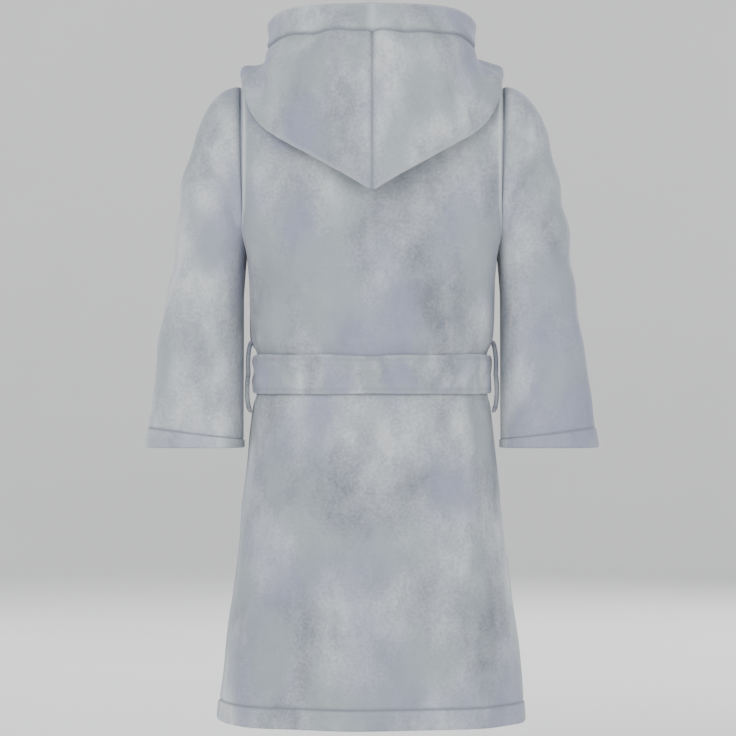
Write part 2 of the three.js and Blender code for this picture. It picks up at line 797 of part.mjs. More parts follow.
// Tape over the neck seam, inside the back panel, with the hanging loop and a blank label under it.
function inside_back(turn, height, inward) {
  const x = (neck_half_width - 3 - inward) * Math.sin(turn);
  const y = (back_neck_depth - half_fleece - inward) * Math.cos(turn);
  return vec(x, y, height);
}
const tape_top = neck_height - back_neck_drop - 2;
{
  const spread = steps(10).map((t) => mix(-tape_reach, tape_reach, t));
  const grid = [0, 1].map((v) =>
    spread.map((turn) => inside_back(turn, tape_top - tape_height * (1 - v), seam_gap + label_gap)),
  );
  sheet("neck_tape", grid, { thick: () => tape_thickness, finish: "tape" });
}

// Hanging loop: a tape folded into an arch, its flat strap on top.
const hanger_depth = back_neck_depth - half_fleece - hanger_inset;
const hanger_top = tape_top + hanger_rise;
{
  const half = hanger_width / 2;
  const corner = 4;
  const outline = [
    [half, tape_top - tape_height],
    [half, hanger_top - corner],
    [half - corner, hanger_top],
    [0, hanger_top],
    [corner - half, hanger_top],
    [-half, hanger_top - corner],
    [-half, tape_top - tape_height],
  ];
  const grid = outline.map(([x, z]) => [-0.5, 0.5].map((u) => vec(x, hanger_depth + hanger_tape * u, z)));
  sheet("hang_loop", grid, { thick: () => hanger_thickness, finish: "tape" });
}

robe.position.set(0, -hanger_depth, -(hanger_top - hanger_thickness / 2));

// Blank labels.
{
  const low = care_label_level * neck_height;
  const inward = -(half_fleece + seam_gap + label_gap);
  const near = 3;
  const rows = [0, 1].map((v) =>
    [near, near + care_label_width].map((depth) => {
      const z = low + care_label_height * v;
      return off_skin(oval(depth / half_depth(z), roundness_at(z)), z, 1, inward);
    }),
  );
  sheet("care_label", rows, { thick: () => label_thickness, finish: "label" });
}
{
  const top = tape_top - tape_height - seam_gap;
  const depth = back_neck_depth - half_fleece - 2 * label_gap;
  const rows = [0, 1].map((v) =>
    [-0.5, 0.5].map((u) => vec(u * neck_label_width, depth, top - neck_label_drop * (1 - v))),
  );
  sheet("neck_label", rows, { thick: () => label_thickness, finish: "label" });
}

export default robe;
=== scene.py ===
"""A child's hooded bathrobe of plush flannel fleece: its cloth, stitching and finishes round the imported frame.

Sizes are in millimetres and heights are counted up from the hem, as the robe was cut. Each mesh is moved and scaled
into the frame, in metres, when it is made.
"""

import logging
import math
from dataclasses import dataclass
from enum import Enum

import bpy
import numpy as np
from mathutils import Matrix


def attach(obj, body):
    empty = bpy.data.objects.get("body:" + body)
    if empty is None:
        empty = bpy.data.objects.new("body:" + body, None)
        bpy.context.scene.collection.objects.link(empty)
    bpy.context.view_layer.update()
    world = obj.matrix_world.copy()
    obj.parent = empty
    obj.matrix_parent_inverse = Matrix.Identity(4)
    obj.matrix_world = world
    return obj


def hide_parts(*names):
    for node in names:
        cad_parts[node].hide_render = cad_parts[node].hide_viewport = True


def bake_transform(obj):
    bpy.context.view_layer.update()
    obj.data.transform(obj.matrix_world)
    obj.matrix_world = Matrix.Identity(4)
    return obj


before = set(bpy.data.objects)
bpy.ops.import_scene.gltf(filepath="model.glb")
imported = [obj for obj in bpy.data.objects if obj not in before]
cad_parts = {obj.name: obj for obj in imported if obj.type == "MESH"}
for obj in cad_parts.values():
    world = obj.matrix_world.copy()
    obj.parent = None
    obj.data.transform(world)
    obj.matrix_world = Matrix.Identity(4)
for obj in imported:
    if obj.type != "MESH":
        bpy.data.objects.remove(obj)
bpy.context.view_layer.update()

log = logging.getLogger("bathrobe")
Grid = np.ndarray  # points of a layer of cloth: rows, columns, (x, y, z)

HALF_SEAM = 0.15  # half the gap between two pieces that are sewn together


class Side(Enum):
    """Which half of the robe a piece belongs to, as the wearer has it."""

    LEFT = 1
    RIGHT = -1

    @property
    def word(self) -> str:
        """The side as the frame's names say it."""
        return self.name.lower()


class Facing(Enum):
    """Which way a panel of the body faces."""

    BACK = 1
    FRONT = -1


class Edge(Enum):
    """How the edge of a piece is finished."""

    SEWN = 0.45
    ROUNDED = 0.5


# ---- Small sums ----


def smooth(value: np.ndarray) -> np.ndarray:
    """Eases from 0 to 1 as value goes from 0 to 1."""
    held = np.clip(value, 0.0, 1.0)
    return held * held * (3.0 - 2.0 * held)


def mix(low: np.ndarray, high: np.ndarray, share: np.ndarray) -> np.ndarray:
    """The value at a share of the way from low to high."""
    return low + (high - low) * share


def signed_power(value: np.ndarray, power: float) -> np.ndarray:
    """A power that keeps the sign of the value."""
    return np.sign(value) * np.abs(value) ** power


def bump(value: np.ndarray, middle: float, width: float) -> np.ndarray:
    """A soft hill of height 1."""
    return np.exp(-(((value - middle) / width) ** 2))


def oval(share: np.ndarray, power: np.ndarray) -> np.ndarray:
    """Depth of a rounded oval at a share of its half width."""
    return np.maximum(1.0 - np.abs(share) ** power, 0.0) ** (1.0 / power)


def points(x: np.ndarray, y: np.ndarray, z: np.ndarray) -> Grid:
    """Joins three coordinates, spread to one shape."""
    return np.stack(np.broadcast_arrays(x, y, z), axis=-1).astype(float)


def unit(vectors: np.ndarray) -> np.ndarray:
    """Vectors brought to length 1."""
    return vectors / np.maximum(np.linalg.norm(vectors, axis=-1, keepdims=True), 1e-9)


def run_along(grid: Grid, axis: int) -> np.ndarray:
    """Length along the cloth from its first point.

    Args:
        grid: the points of the cloth.
        axis: 1 for along each row, 0 for up each column.

    Returns:
        One length for each point.
    """
    lengths = np.linalg.norm(np.diff(grid, axis=axis), axis=-1)
    start = np.zeros_like(np.take(lengths, [0], axis=axis))
    return np.concatenate([start, np.cumsum(lengths, axis=axis)], axis=axis)


def ease_rows(grid: Grid, middle: int, share: np.ndarray) -> Grid:
    """Evens out the depth of the rows around the one where two stretches of cloth meet.

    Args:
        grid: the points of the cloth.
        middle: the row where they meet.
        share: how much each column is eased, from 0 to 1.

    Returns:
        The eased points.
    """
    reach, passes = 14, 60
    rows = slice(middle - reach, middle + reach + 1)
    fade = smooth(1.0 - np.abs(np.arange(-reach, reach + 1)) / reach)[:, None] * share
    eased = grid.copy()
    for _ in range(passes):
        low, here, high = (eased[middle - reach + k : middle + reach + 1 + k] for k in (-1, 0, 1))
        along = (here[..., 2] - low[..., 2]) / np.maximum(high[..., 2] - low[..., 2], 1e-6)
        eased[rows, :, 1] = mix(here[..., 1], mix(low[..., 1], high[..., 1], along), 0.8 * fade)
    return eased


def spaced(start: float, end: float, step: float) -> np.ndarray:
    """Places from start to end, about one step apart."""
    return np.linspace(start, end, max(int(round(abs(end - start) / step)), 1) + 1)


# ---- Colour and finishes ----


def linear(colour: str) -> tuple[float, float, float, float]:
    """Turns an sRGB hex colour into linear light.

    Args:
        colour: six hex digits, with or without a leading mark.

    Returns:
        Red, green, blue and an alpha of 1.
    """
    digits = colour.lstrip("#")
    parts = [int(digits[k : k + 2], 16) / 255.0 for k in (0, 2, 4)]
    light = [c / 12.92 if c <= 0.04045 else ((c + 0.055) / 1.055) ** 2.4 for c in parts]
    return (light[0], light[1], light[2], 1.0)


def add_node(tree: bpy.types.NodeTree, kind: str, settings: dict = {}, links: dict = {}) -> bpy.types.Node:
    """Adds one node to a tree.

    Args:
        tree: the tree that takes it.
        kind: the node's type.
        settings: its own properties, and values for its input sockets by name or number.
        links: output sockets that feed its inputs, by name or number.

    Returns:
        The new node.
    """
    node = tree.nodes.new(kind)
    for key, value in settings.items():
        if isinstance(key, str) and hasattr(node, key):
            setattr(node, key, value)
        else:
            node.inputs[key].default_value = value
    for key, source in links.items():
        tree.links.new(source, node.inputs[key])
    return node


def blank_material(name: str) -> tuple[bpy.types.Material, bpy.types.Node]:
    """Makes a material with only its shader and output.

    Args:
        name: the material's name.

    Returns:
        The material and its shader node.
    """
    material = bpy.data.materials.new(name)
    material.use_nodes = True
    tree = material.node_tree
    tree.nodes.clear()
    shader = add_node(tree, "ShaderNodeBsdfPrincipled")
    add_node(tree, "ShaderNodeOutputMaterial", links={"Surface": shader.outputs["BSDF"]})
    return material, shader


@dataclass(frozen=True)
class PolyesterFleece:
    """Knitted polyester flannel fleece, brushed and sheared to a short dense pile.

    The pile lies this way and that, so that the eye sees soft lighter and darker patches and no gloss. Seams and
    rows of stitches get painted shade, and raised edges, folds and seam ridges get a pale painted highlight.
    """

    name: str = "polyester_flannel_fleece"
    deep: str = "#767C86"  # pile that leans away from the light; also the painted shade in seams and rows of stitches
    middle: str = "#9DA2A9"
    bright: str = "#C6CACD"  # pile brushed up; also the painted highlight on raised edges, folds and seam ridges
    violet: str = "#8F91A8"  # where the ground shows through the pile
    green: str = "#949FA2"  # a second tinge of the same ground
    patch: float = 66.0  # size of a brushed patch
    finger: float = 17.0  # size of a finger mark in the pile
    tuft: float = 3.0  # size of a tuft, drawn coarser than the real 1 mm so that it shows
    tuft_height: float = 1.5
    lift: float = 0.0  # painted light: how much lighter this piece's copy of the fleece is drawn, standing for brighter light on it, from -1 to 1

    def material(self) -> bpy.types.Material:
        """Builds the material: patches, finger marks and tufts fixed to the cloth, and painted shade and highlight.
        """
        material, shader = blank_material(self.name)
        tree = material.node_tree
        cloth = add_node(tree, "ShaderNodeAttribute", {"attribute_name": "cloth"}).outputs["Vector"]
        napped = add_node(tree, "ShaderNodeVectorMath", {"operation": "MULTIPLY", 1: (1.0, 1.0, 0.62)}, {0: cloth})
        nap = napped.outputs["Vector"]
        patches = self.noise(tree, nap, self.patch, 1.2, 0.1)
        fingers = self.noise(tree, nap, self.finger, 2.0, 0.2)
        tufts = self.noise(tree, cloth, self.tuft, 2.0, 0.0)
        spread = add_node(tree, "ShaderNodeMix", {"data_type": "FLOAT", 0: 0.34}, {2: patches, 3: fingers})
        spread = add_node(tree, "ShaderNodeMix", {"data_type": "FLOAT", 0: 0.24}, {2: spread.outputs[0], 3: tufts})
        ramp = add_node(tree, "ShaderNodeValToRGB", links={"Fac": spread.outputs[0]})
        # Painted light: the colour ramp moves towards its bright end by the piece's lift.
        shift = -0.05 * self.lift
        stops = ramp.color_ramp.elements
        stops[0].position = 0.33 + shift
        stops[0].color = linear(self.deep)
        stops[1].position = 0.68 + shift
        stops[1].color = linear(self.bright)
        stops.new(0.5 + shift).color = linear(self.middle)
        colour = ramp.outputs["Color"]
        for tinge, size, low in ((self.violet, 1.3, 0.47), (self.green, 0.9, 0.5)):
            ground = self.noise(tree, nap, size * self.patch, 1.0, 0.1)
            limits = {"From Min": low, "From Max": low + 0.14, "To Max": 0.7}
            share = add_node(tree, "ShaderNodeMapRange", limits, {"Value": ground})
            settings = {"data_type": "RGBA", 7: linear(tinge)}
            colour = add_node(tree, "ShaderNodeMix", settings, {0: share.outputs[0], 6: colour}).outputs[2]
        # Painted shade and painted highlight from the mesh: positive values darken seams and rows of stitches towards
        # the deep colour, negative values lighten raised edges, folds and seam ridges towards the bright colour.
        crease = add_node(tree, "ShaderNodeAttribute", {"attribute_name": "crease"}).outputs["Fac"]
        for shade, ends in ((self.deep, (0.0, 1.0)), (self.bright, (0.0, -1.0))):
            limits = {"From Min": ends[0], "From Max": ends[1]}
            share = add_node(tree, "ShaderNodeMapRange", limits, {"Value": crease})
            settings = {"data_type": "RGBA", 7: linear(shade)}
            colour = add_node(tree, "ShaderNodeMix", settings, {0: share.outputs[0], 6: colour}).outputs[2]
        tree.links.new(colour, shader.inputs["Base Color"])
        heights = add_node(tree, "ShaderNodeMix", {"data_type": "FLOAT", 0: 0.5}, {2: tufts, 3: fingers})
        relief = add_node(
            tree,
            "ShaderNodeBump",
            {"Strength": 0.7, "Distance": self.tuft_height / 1000.0},
            {"Height": heights.outputs[0]},
        )
        tree.links.new(relief.outputs["Normal"], shader.inputs["Normal"])
        shader.inputs["Roughness"].default_value = 0.95
        shader.inputs["IOR"].default_value = 1.5
        shader.inputs["Specular IOR Level"].default_value = 0.12
        shader.inputs["Sheen Weight"].default_value = 0.3
        shader.inputs["Sheen Roughness"].default_value = 0.4
        shader.inputs["Sheen Tint"].default_value = linear("#EEF0F4")
        return material

    def noise(
        self, tree: bpy.types.NodeTree, place: bpy.types.NodeSocket, size: float, detail: float, twist: float
    ) -> bpy.types.NodeSocket:
        """Adds soft noise with features of one size in millimetres, and gives its value."""
        settings = {"Scale": 1.0 / size, "Detail": detail, "Roughness": 0.55, "Distortion": twist}
        return add_node(tree, "ShaderNodeTexNoise", settings, {"Vector": place}).outputs["Fac"]


@dataclass(frozen=True)
class WovenCottonTape:
    """Herringbone cotton tape, woven in slanting ribs about a millimetre apart, matt."""

    name: str = "woven_cotton_tape"
    thread: str = "#A9ADB3"
    # painted shade: the valleys between the ribs are drawn darker than the thread
    valley: str = "#888D95"
    rib: float = 1.3

    def material(self) -> bpy.types.Material:
        """Builds the material, with ribs that change direction down the middle and painted shade in their valleys."""
        material, shader = blank_material(self.name)
        tree = material.node_tree
        cloth = add_node(tree, "ShaderNodeAttribute", {"attribute_name": "cloth"}).outputs["Vector"]
        parts = add_node(tree, "ShaderNodeSeparateXYZ", links={0: cloth})
        across = add_node(tree, "ShaderNodeMath", {"operation": "PINGPONG", 1: 2.7}, {0: parts.outputs["Y"]})
        slant = add_node(tree, "ShaderNodeMath", {"operation": "ADD"}, {0: parts.outputs["X"], 1: across.outputs[0]})
        turns = {"operation": "MULTIPLY", 1: 2.0 * math.pi / self.rib}
        angle = add_node(tree, "ShaderNodeMath", turns, {0: slant.outputs[0]})
        wave = add_node(tree, "ShaderNodeMath", {"operation": "SINE"}, {0: angle.outputs[0]})
        height = add_node(tree, "ShaderNodeMapRange", {"From Min": -1.0}, {"Value": wave.outputs[0]})
        # Painted shade in the valleys between the ribs, set by the same height as the bump.
        colour = {"data_type": "RGBA", 6: linear(self.valley), 7: linear(self.thread)}
        threads = add_node(tree, "ShaderNodeMix", colour, {0: height.outputs[0]})
        tree.links.new(threads.outputs[2], shader.inputs["Base Color"])
        ribs = {"Strength": 0.6, "Distance": 0.0004}
        relief = add_node(tree, "ShaderNodeBump", ribs, {"Height": height.outputs[0]})
        tree.links.new(relief.outputs["Normal"], shader.inputs["Normal"])
        shader.inputs["Roughness"].default_value = 0.85
        shader.inputs["IOR"].default_value = 1.5
        shader.inputs["Specular IOR Level"].default_value = 0.25
        return material


@dataclass(frozen=True)
class PolyesterSatin:
    """Blank label of polyester satin: off-white, fine-ribbed across and faintly glossy."""

    name: str = "polyester_satin_label"
    face: str = "#F1F0EB"
    shade: str = "#DCDAD3"
    rib: float = 0.8

    def material(self) -> bpy.types.Material:
        """Builds the material, with fine ribs that run across the label."""
        material, shader = blank_material(self.name)
        tree = material.node_tree
        cloth = add_node(tree, "ShaderNodeAttribute", {"attribute_name": "cloth"}).outputs["Vector"]
        ribs = {"wave_type": "BANDS", "bands_direction": "Y", "Scale": 0.314 / self.rib, "Distortion": 0.2}
        wave = add_node(tree, "ShaderNodeTexWave", ribs, {"Vector": cloth})
        colour = {"data_type": "RGBA", 6: linear(self.shade), 7: linear(self.face)}
        threads = add_node(tree, "ShaderNodeMix", colour, {0: wave.outputs["Fac"]})
        tree.links.new(threads.outputs[2], shader.inputs["Base Color"])
        low = {"Strength": 0.3, "Distance": 0.0001}
        relief = add_node(tree, "ShaderNodeBump", low, {"Height": wave.outputs["Fac"]})
        tree.links.new(relief.outputs["Normal"], shader.inputs["Normal"])
        shader.inputs["Roughness"].default_value = 0.45
        shader.inputs["IOR"].default_value = 1.55
        return material


@dataclass(frozen=True)
class MattPaint:
    """Matt white emulsion of the studio floor, rolled on, with no sheen and a barely uneven tone."""

    name: str = "matt_emulsion_paint"
    light: str = "#F6F6F5"
    dark: str = "#F0F0EF"
    grain: float = 0.35  # metres between uneven patches

    def material(self) -> bpy.types.Material:
        """Builds the material, with a very faint unevenness."""
        material, shader = blank_material(self.name)
        tree = material.node_tree
        place = add_node(tree, "ShaderNodeTexCoord").outputs["Object"]
        uneven = add_node(tree, "ShaderNodeTexNoise", {"Scale": 1.0 / self.grain}, {"Vector": place})
        colour = {"data_type": "RGBA", 6: linear(self.dark), 7: linear(self.light)}
        paint = add_node(tree, "ShaderNodeMix", colour, {0: uneven.outputs["Fac"]})
        tree.links.new(paint.outputs[2], shader.inputs["Base Color"])
        shader.inputs["Roughness"].default_value = 0.9
        return material


# ---- The form of the robe ----


@dataclass(frozen=True)
class Lumps:
    """The soft unevenness of thick cloth: many small waves that cross in random directions."""

    seed: int
    shortest: float
    longest: float
    count: int = 26

    def at(self, place: np.ndarray) -> np.ndarray:
        """Height of the unevenness at each place, mostly within 1 of nothing."""
        draw = np.random.default_rng(self.seed)
        directions = unit(draw.normal(size=(self.count, 3)))
        lengths = draw.uniform(self.shortest, self.longest, self.count)
        phases = draw.uniform(0.0, 2.0 * math.pi, self.count)
        turns = place @ (directions / lengths[:, None]).T * 2.0 * math.pi + phases
        return np.cos(turns).sum(axis=-1) / math.sqrt(self.count / 2.0)


@dataclass(frozen=True)
class RobeForm:
    """The shape that every piece of the robe is cut to or lies on, the same as the frame's."""

    neck_height: float = 700.0
    shoulder_height: float = 665.0
    armpit_height: float = 490.0
    belt_height: float = 364.0
    hem_half_width: float = 158.0
    waist_half_width: float = 117.0
    chest_half_width: float = 130.0
    shoulder_half_width: float = 138.0
    hem_half_depth: float = 110.0
    waist_half_depth: float = 88.0
    chest_half_depth: float = 92.0
    roundness: float = 2.4
    chest_roundness: float = 3.2
    armhole_half_depth: float = 50.0
    armhole_ease: float = 2.5
    neck_half_width: float = 62.0
    back_neck_depth: float = 48.0
    back_neck_drop: float = 10.0
    lapel_slope: float = 0.415
    lap_shift: float = 3.6
    fleece: float = 4.0
    hem_thickness: float = 6.4
    hem_band: float = 20.0
    belt_width: float = 41.0
    hood_tip_height: float = 553.0
    hanger_depth: float = 36.4
    hanger_height: float = 699.2

    def to_frame(self, places: np.ndarray) -> np.ndarray:
        """Moves places from above the hem to the frame, in metres."""
        return (places - np.array([0.0, self.hanger_depth, self.hanger_height])) / 1000.0

    def grown(self, height: np.ndarray, hem: float, waist: float, chest: float) -> np.ndarray:
        """A half size that goes from the hem to the waist and on to the chest."""
        below = waist + (hem - waist) * np.clip(1.0 - height / self.belt_height, 0.0, 1.0) ** 0.95
        up = np.clip((height - self.belt_height) / (self.armpit_height - self.belt_height), 0.0, 1.0)
        return np.where(height < self.belt_height, below, mix(waist, chest, up))

    def half_width(self, height: np.ndarray) -> np.ndarray:
        """Middle to the side seam."""
        return self.grown(height, self.hem_half_width, self.waist_half_width, self.chest_half_width)

    def half_depth(self, height: np.ndarray) -> np.ndarray:
        """Middle to the centre of the back or the front."""
        return self.grown(height, self.hem_half_depth, self.waist_half_depth, self.chest_half_depth)

    def roundness_at(self, height: np.ndarray) -> np.ndarray:
        """Exponent of the oval section at one height."""
        up = (height - self.belt_height) / (self.armpit_height - self.belt_height)
        return mix(self.roundness, self.chest_roundness, smooth(up))

    def skirt(self, share: np.ndarray, height: np.ndarray, facing: int) -> Grid:
        """Places on the skirt and waist; share goes from 1 at the left side seam to -1 at the right."""
        depth = self.half_depth(height) * oval(share, self.roundness_at(height))
        return points(self.half_width(height) * share, facing * depth, height)

    def top_height(self, across: np.ndarray) -> np.ndarray:
        """Height of the shoulder seam above one place across."""
        run = (np.abs(across) - self.neck_half_width) / (self.shoulder_half_width - self.neck_half_width)
        return mix(self.neck_height, self.shoulder_height, np.clip(run, 0.0, None))

    def armhole_across(self, level: np.ndarray) -> np.ndarray:
        """Middle to the armhole edge at one level of the bodice."""
        start = self.chest_half_width + self.armhole_ease
        return mix(start, self.shoulder_half_width, level) - self.armhole_ease * (1.0 - smooth(level / 0.12))

    def bodice(self, share: np.ndarray, level: np.ndarray, facing: int) -> Grid:
        """Places on the bodice; level goes from 0 at the armpits to 1 at the shoulder seams."""
        across = self.armhole_across(level) * share
        inside = np.minimum(np.abs(across) / self.neck_half_width, 1.0)
        neck = np.sqrt(1.0 - inside * inside) if facing > 0 else np.zeros_like(inside)
        fall = np.maximum(np.cos(level * math.pi / 2.0), 0.0) ** 0.65
        middle = self.chest_half_depth * fall + self.back_neck_depth * neck * (1.0 - fall)
        spread = oval(share, self.chest_roundness) ** mix(1.0, 2.6, smooth(level * 3.0))
        edge = self.armhole_half_depth * np.maximum(4.0 * level * (1.0 - level), 0.0) ** 0.45
        top = self.top_height(across) - (self.back_neck_drop * neck if facing > 0 else 0.0)
        return points(across, facing * mix(edge, middle, spread), mix(self.armpit_height, top, level))

    def skin(self, share: np.ndarray, height: np.ndarray, level: np.ndarray, facing: int) -> Grid:
        """Places on the body of the robe, below the armpits where level is 0."""
        low = self.skirt(share, height, facing)
        high = self.bodice(share, level, facing)
        return np.where(np.broadcast_to(level > 0.0, share.shape)[..., None], high, low)

    def hood_line(self, across: np.ndarray) -> np.ndarray:
        """Height of the hood's fold above one place across the back."""
        out = np.minimum(np.abs(across) / (self.shoulder_half_width - 2.0), 1.0)
        return self.hood_tip_height + 78.0 * out + 46.0 * out**14

    def folds(self, turn: np.ndarray, height: np.ndarray) -> np.ndarray:
        """How far the cloth stands out of the plain form.

        Args:
            turn: direction from the middle, in radians, 0 at the left side seam and a quarter turn at the back.
            height: height above the hem.

        Returns:
            Millimetres outward.
        """
        drop = smooth((self.belt_height - 24.0 - height) / 240.0)
        skirt = 2.6 * np.cos(8.0 * turn + 0.7 + 0.0016 * height)
        skirt = skirt + 1.7 * np.cos(5.0 * turn - 1.1 - 0.0012 * height) + 0.9 * np.cos(13.0 * turn + 2.0)
        over = height - self.belt_height - self.belt_width / 2.0
        blouse = smooth((over - 1.0) / 15.0) * (1.0 - smooth((over - 16.0) / 75.0))
        blouse = blouse * (4.4 + 1.1 * np.cos(9.0 * turn + 0.4) + 0.8 * np.cos(14.0 * turn + 1.9))
        under = self.belt_height - self.belt_width / 2.0 - height
        gather = smooth((under - 1.0) / 12.0) * (1.0 - smooth((under - 12.0) / 90.0))
        gather = gather * (1.0 + 0.9 * np.cos(16.0 * turn + 0.3) + 0.7 * np.cos(23.0 * turn + 1.2))
        chest = smooth((over - 20.0) / 70.0)
        lean = 1.5 * np.cos(6.0 * turn + 0.014 * (height - 420.0)) + 1.2 * np.cos(9.0 * turn - 0.018 * height)
        return drop * skirt + blouse + gather + chest * lean

    def draped(self, share: np.ndarray, height: np.ndarray, level: np.ndarray, facing: int) -> Grid:
        """Places on the body of the robe with the folds of its cloth.

        Args:
            share: share of the half width, 1 at the left side seam.
            height: height above the hem, used below the armpits.
            level: level of the bodice, 0 below the armpits.
            facing: 1 at the back, -1 at the front.

        Returns:
            Points of the middle of the cloth.
        """
        place = self.skin(share, height, level, facing)
        power = np.where(level > 0.0, self.chest_roundness, self.roundness_at(height))
        deep = facing * oval(share, power)
        turn = np.arctan2(deep, share)
        wide = np.where(level > 0.0, self.armhole_across(level), self.half_width(height))
        outward = unit(
            points(
                signed_power(share, 1.4) / wide,
                signed_power(deep, 1.4) / self.half_depth(height),
                np.zeros_like(share),
            )
        )
        up = place[..., 2]
        near_armhole = smooth((up - 415.0) / 60.0)
        kept = mix(1.0, smooth((1.0 - np.abs(share)) * 130.0 / 38.0), near_armhole)
        if facing > 0:
            kept = kept * smooth((self.hood_line(place[..., 0]) - 6.0 - up) / 45.0)
        else:
            kept = kept * (1.0 - smooth((up - 560.0) / 60.0))
        belt = np.abs(up - self.belt_height) < self.belt_width / 2.0 + 1.0
        lumps = Lumps(11, 55.0, 130.0).at(place) * 0.7 * smooth((np.abs(up - self.belt_height) - 24.0) / 40.0)
        amount = np.where(belt, 0.0, (self.folds(turn, up) + lumps) * kept)
        return place + outward * amount[..., None]

    def off_skin(self, share: np.ndarray, height: np.ndarray, facing: int, distance: np.ndarray) -> Grid:
        """Places at a distance off the plain form of the skirt and waist."""
        small = 0.002
        at = self.skirt(share, height, facing)
        up = self.skirt(share, height + 1.0, facing) - at
        one = self.skirt(np.minimum(share + small, 1.0), height, facing)
        two = self.skirt(np.maximum(share - small, -1.0), height, facing)
        normal = unit(np.cross(one - two, up))
        turned = np.sign(normal[..., 0] * at[..., 0] + normal[..., 1] * at[..., 1])[..., None]
        return at + normal * np.where(turned == 0.0, 1.0, turned) * np.asarray(distance)[..., None]

    def lap(self, own_across: np.ndarray, level: np.ndarray) -> np.ndarray:
        """How far a front lies off the form where the two fronts lap."""
        start = 0.84 * self.waist_half_width
        run = 0.34 * self.waist_half_width
        return self.lap_shift * smooth((start - own_across) / run) * (1.0 - smooth((level - 0.35) / 0.4))

    def hem_profile(self, height: np.ndarray) -> np.ndarray:
        """Thickness of the cloth above the hem: turned under, stitched, then one layer."""
        above = smooth((height - self.hem_band + 0.5) / 3.0)
        thick = mix(self.hem_thickness, self.fleece, above)
        rounded = mix(0.62, 1.0, np.sqrt(np.clip(height / 2.6, 0.0, 1.0)))
        return (thick - 2.1 * bump(height, self.hem_band + 1.2, 1.5)) * rounded

    def heights(self) -> np.ndarray:
        """Heights of the rows below the armpits, close together at the hem and its stitches."""
        turned = [0.0, 0.8, 2.0, 4.0, 7.0, 10.5, 14.0, 17.0, 18.8, 19.8, 20.6, 21.2, 21.8, 22.8, 24.5]
        return np.concatenate([turned, spaced(28.0, self.armpit_height - 0.6, 4.3)])

    def levels(self) -> np.ndarray:
        """Levels of the rows of the bodice, close together at the armpits and the shoulders."""
        first = np.array([0.0025, 0.008, 0.018, 0.032])
        return np.concatenate([first, spaced(0.05, 0.95, 0.0215), [0.965, 0.98, 0.991, 1.0]])


def along_oval(start: float, end: np.ndarray, places: np.ndarray) -> np.ndarray:
    """Shares of the half width that are evenly spaced round the oval.

    Args:
        start: share at the first place.
        end: share at the last place, one for each row.
        places: the places, from 0 to 1.

    Returns:
        One share for each row and place.
    """
    power = 1.2
    first = math.acos(start**power)
    last = np.arccos(signed_power(np.asarray(end, dtype=float), power))
    angles = mix(first, last.reshape(-1, 1), places[None, :])
    return signed_power(np.cos(angles), 1.0 / power)


# ---- Layers of cloth ----


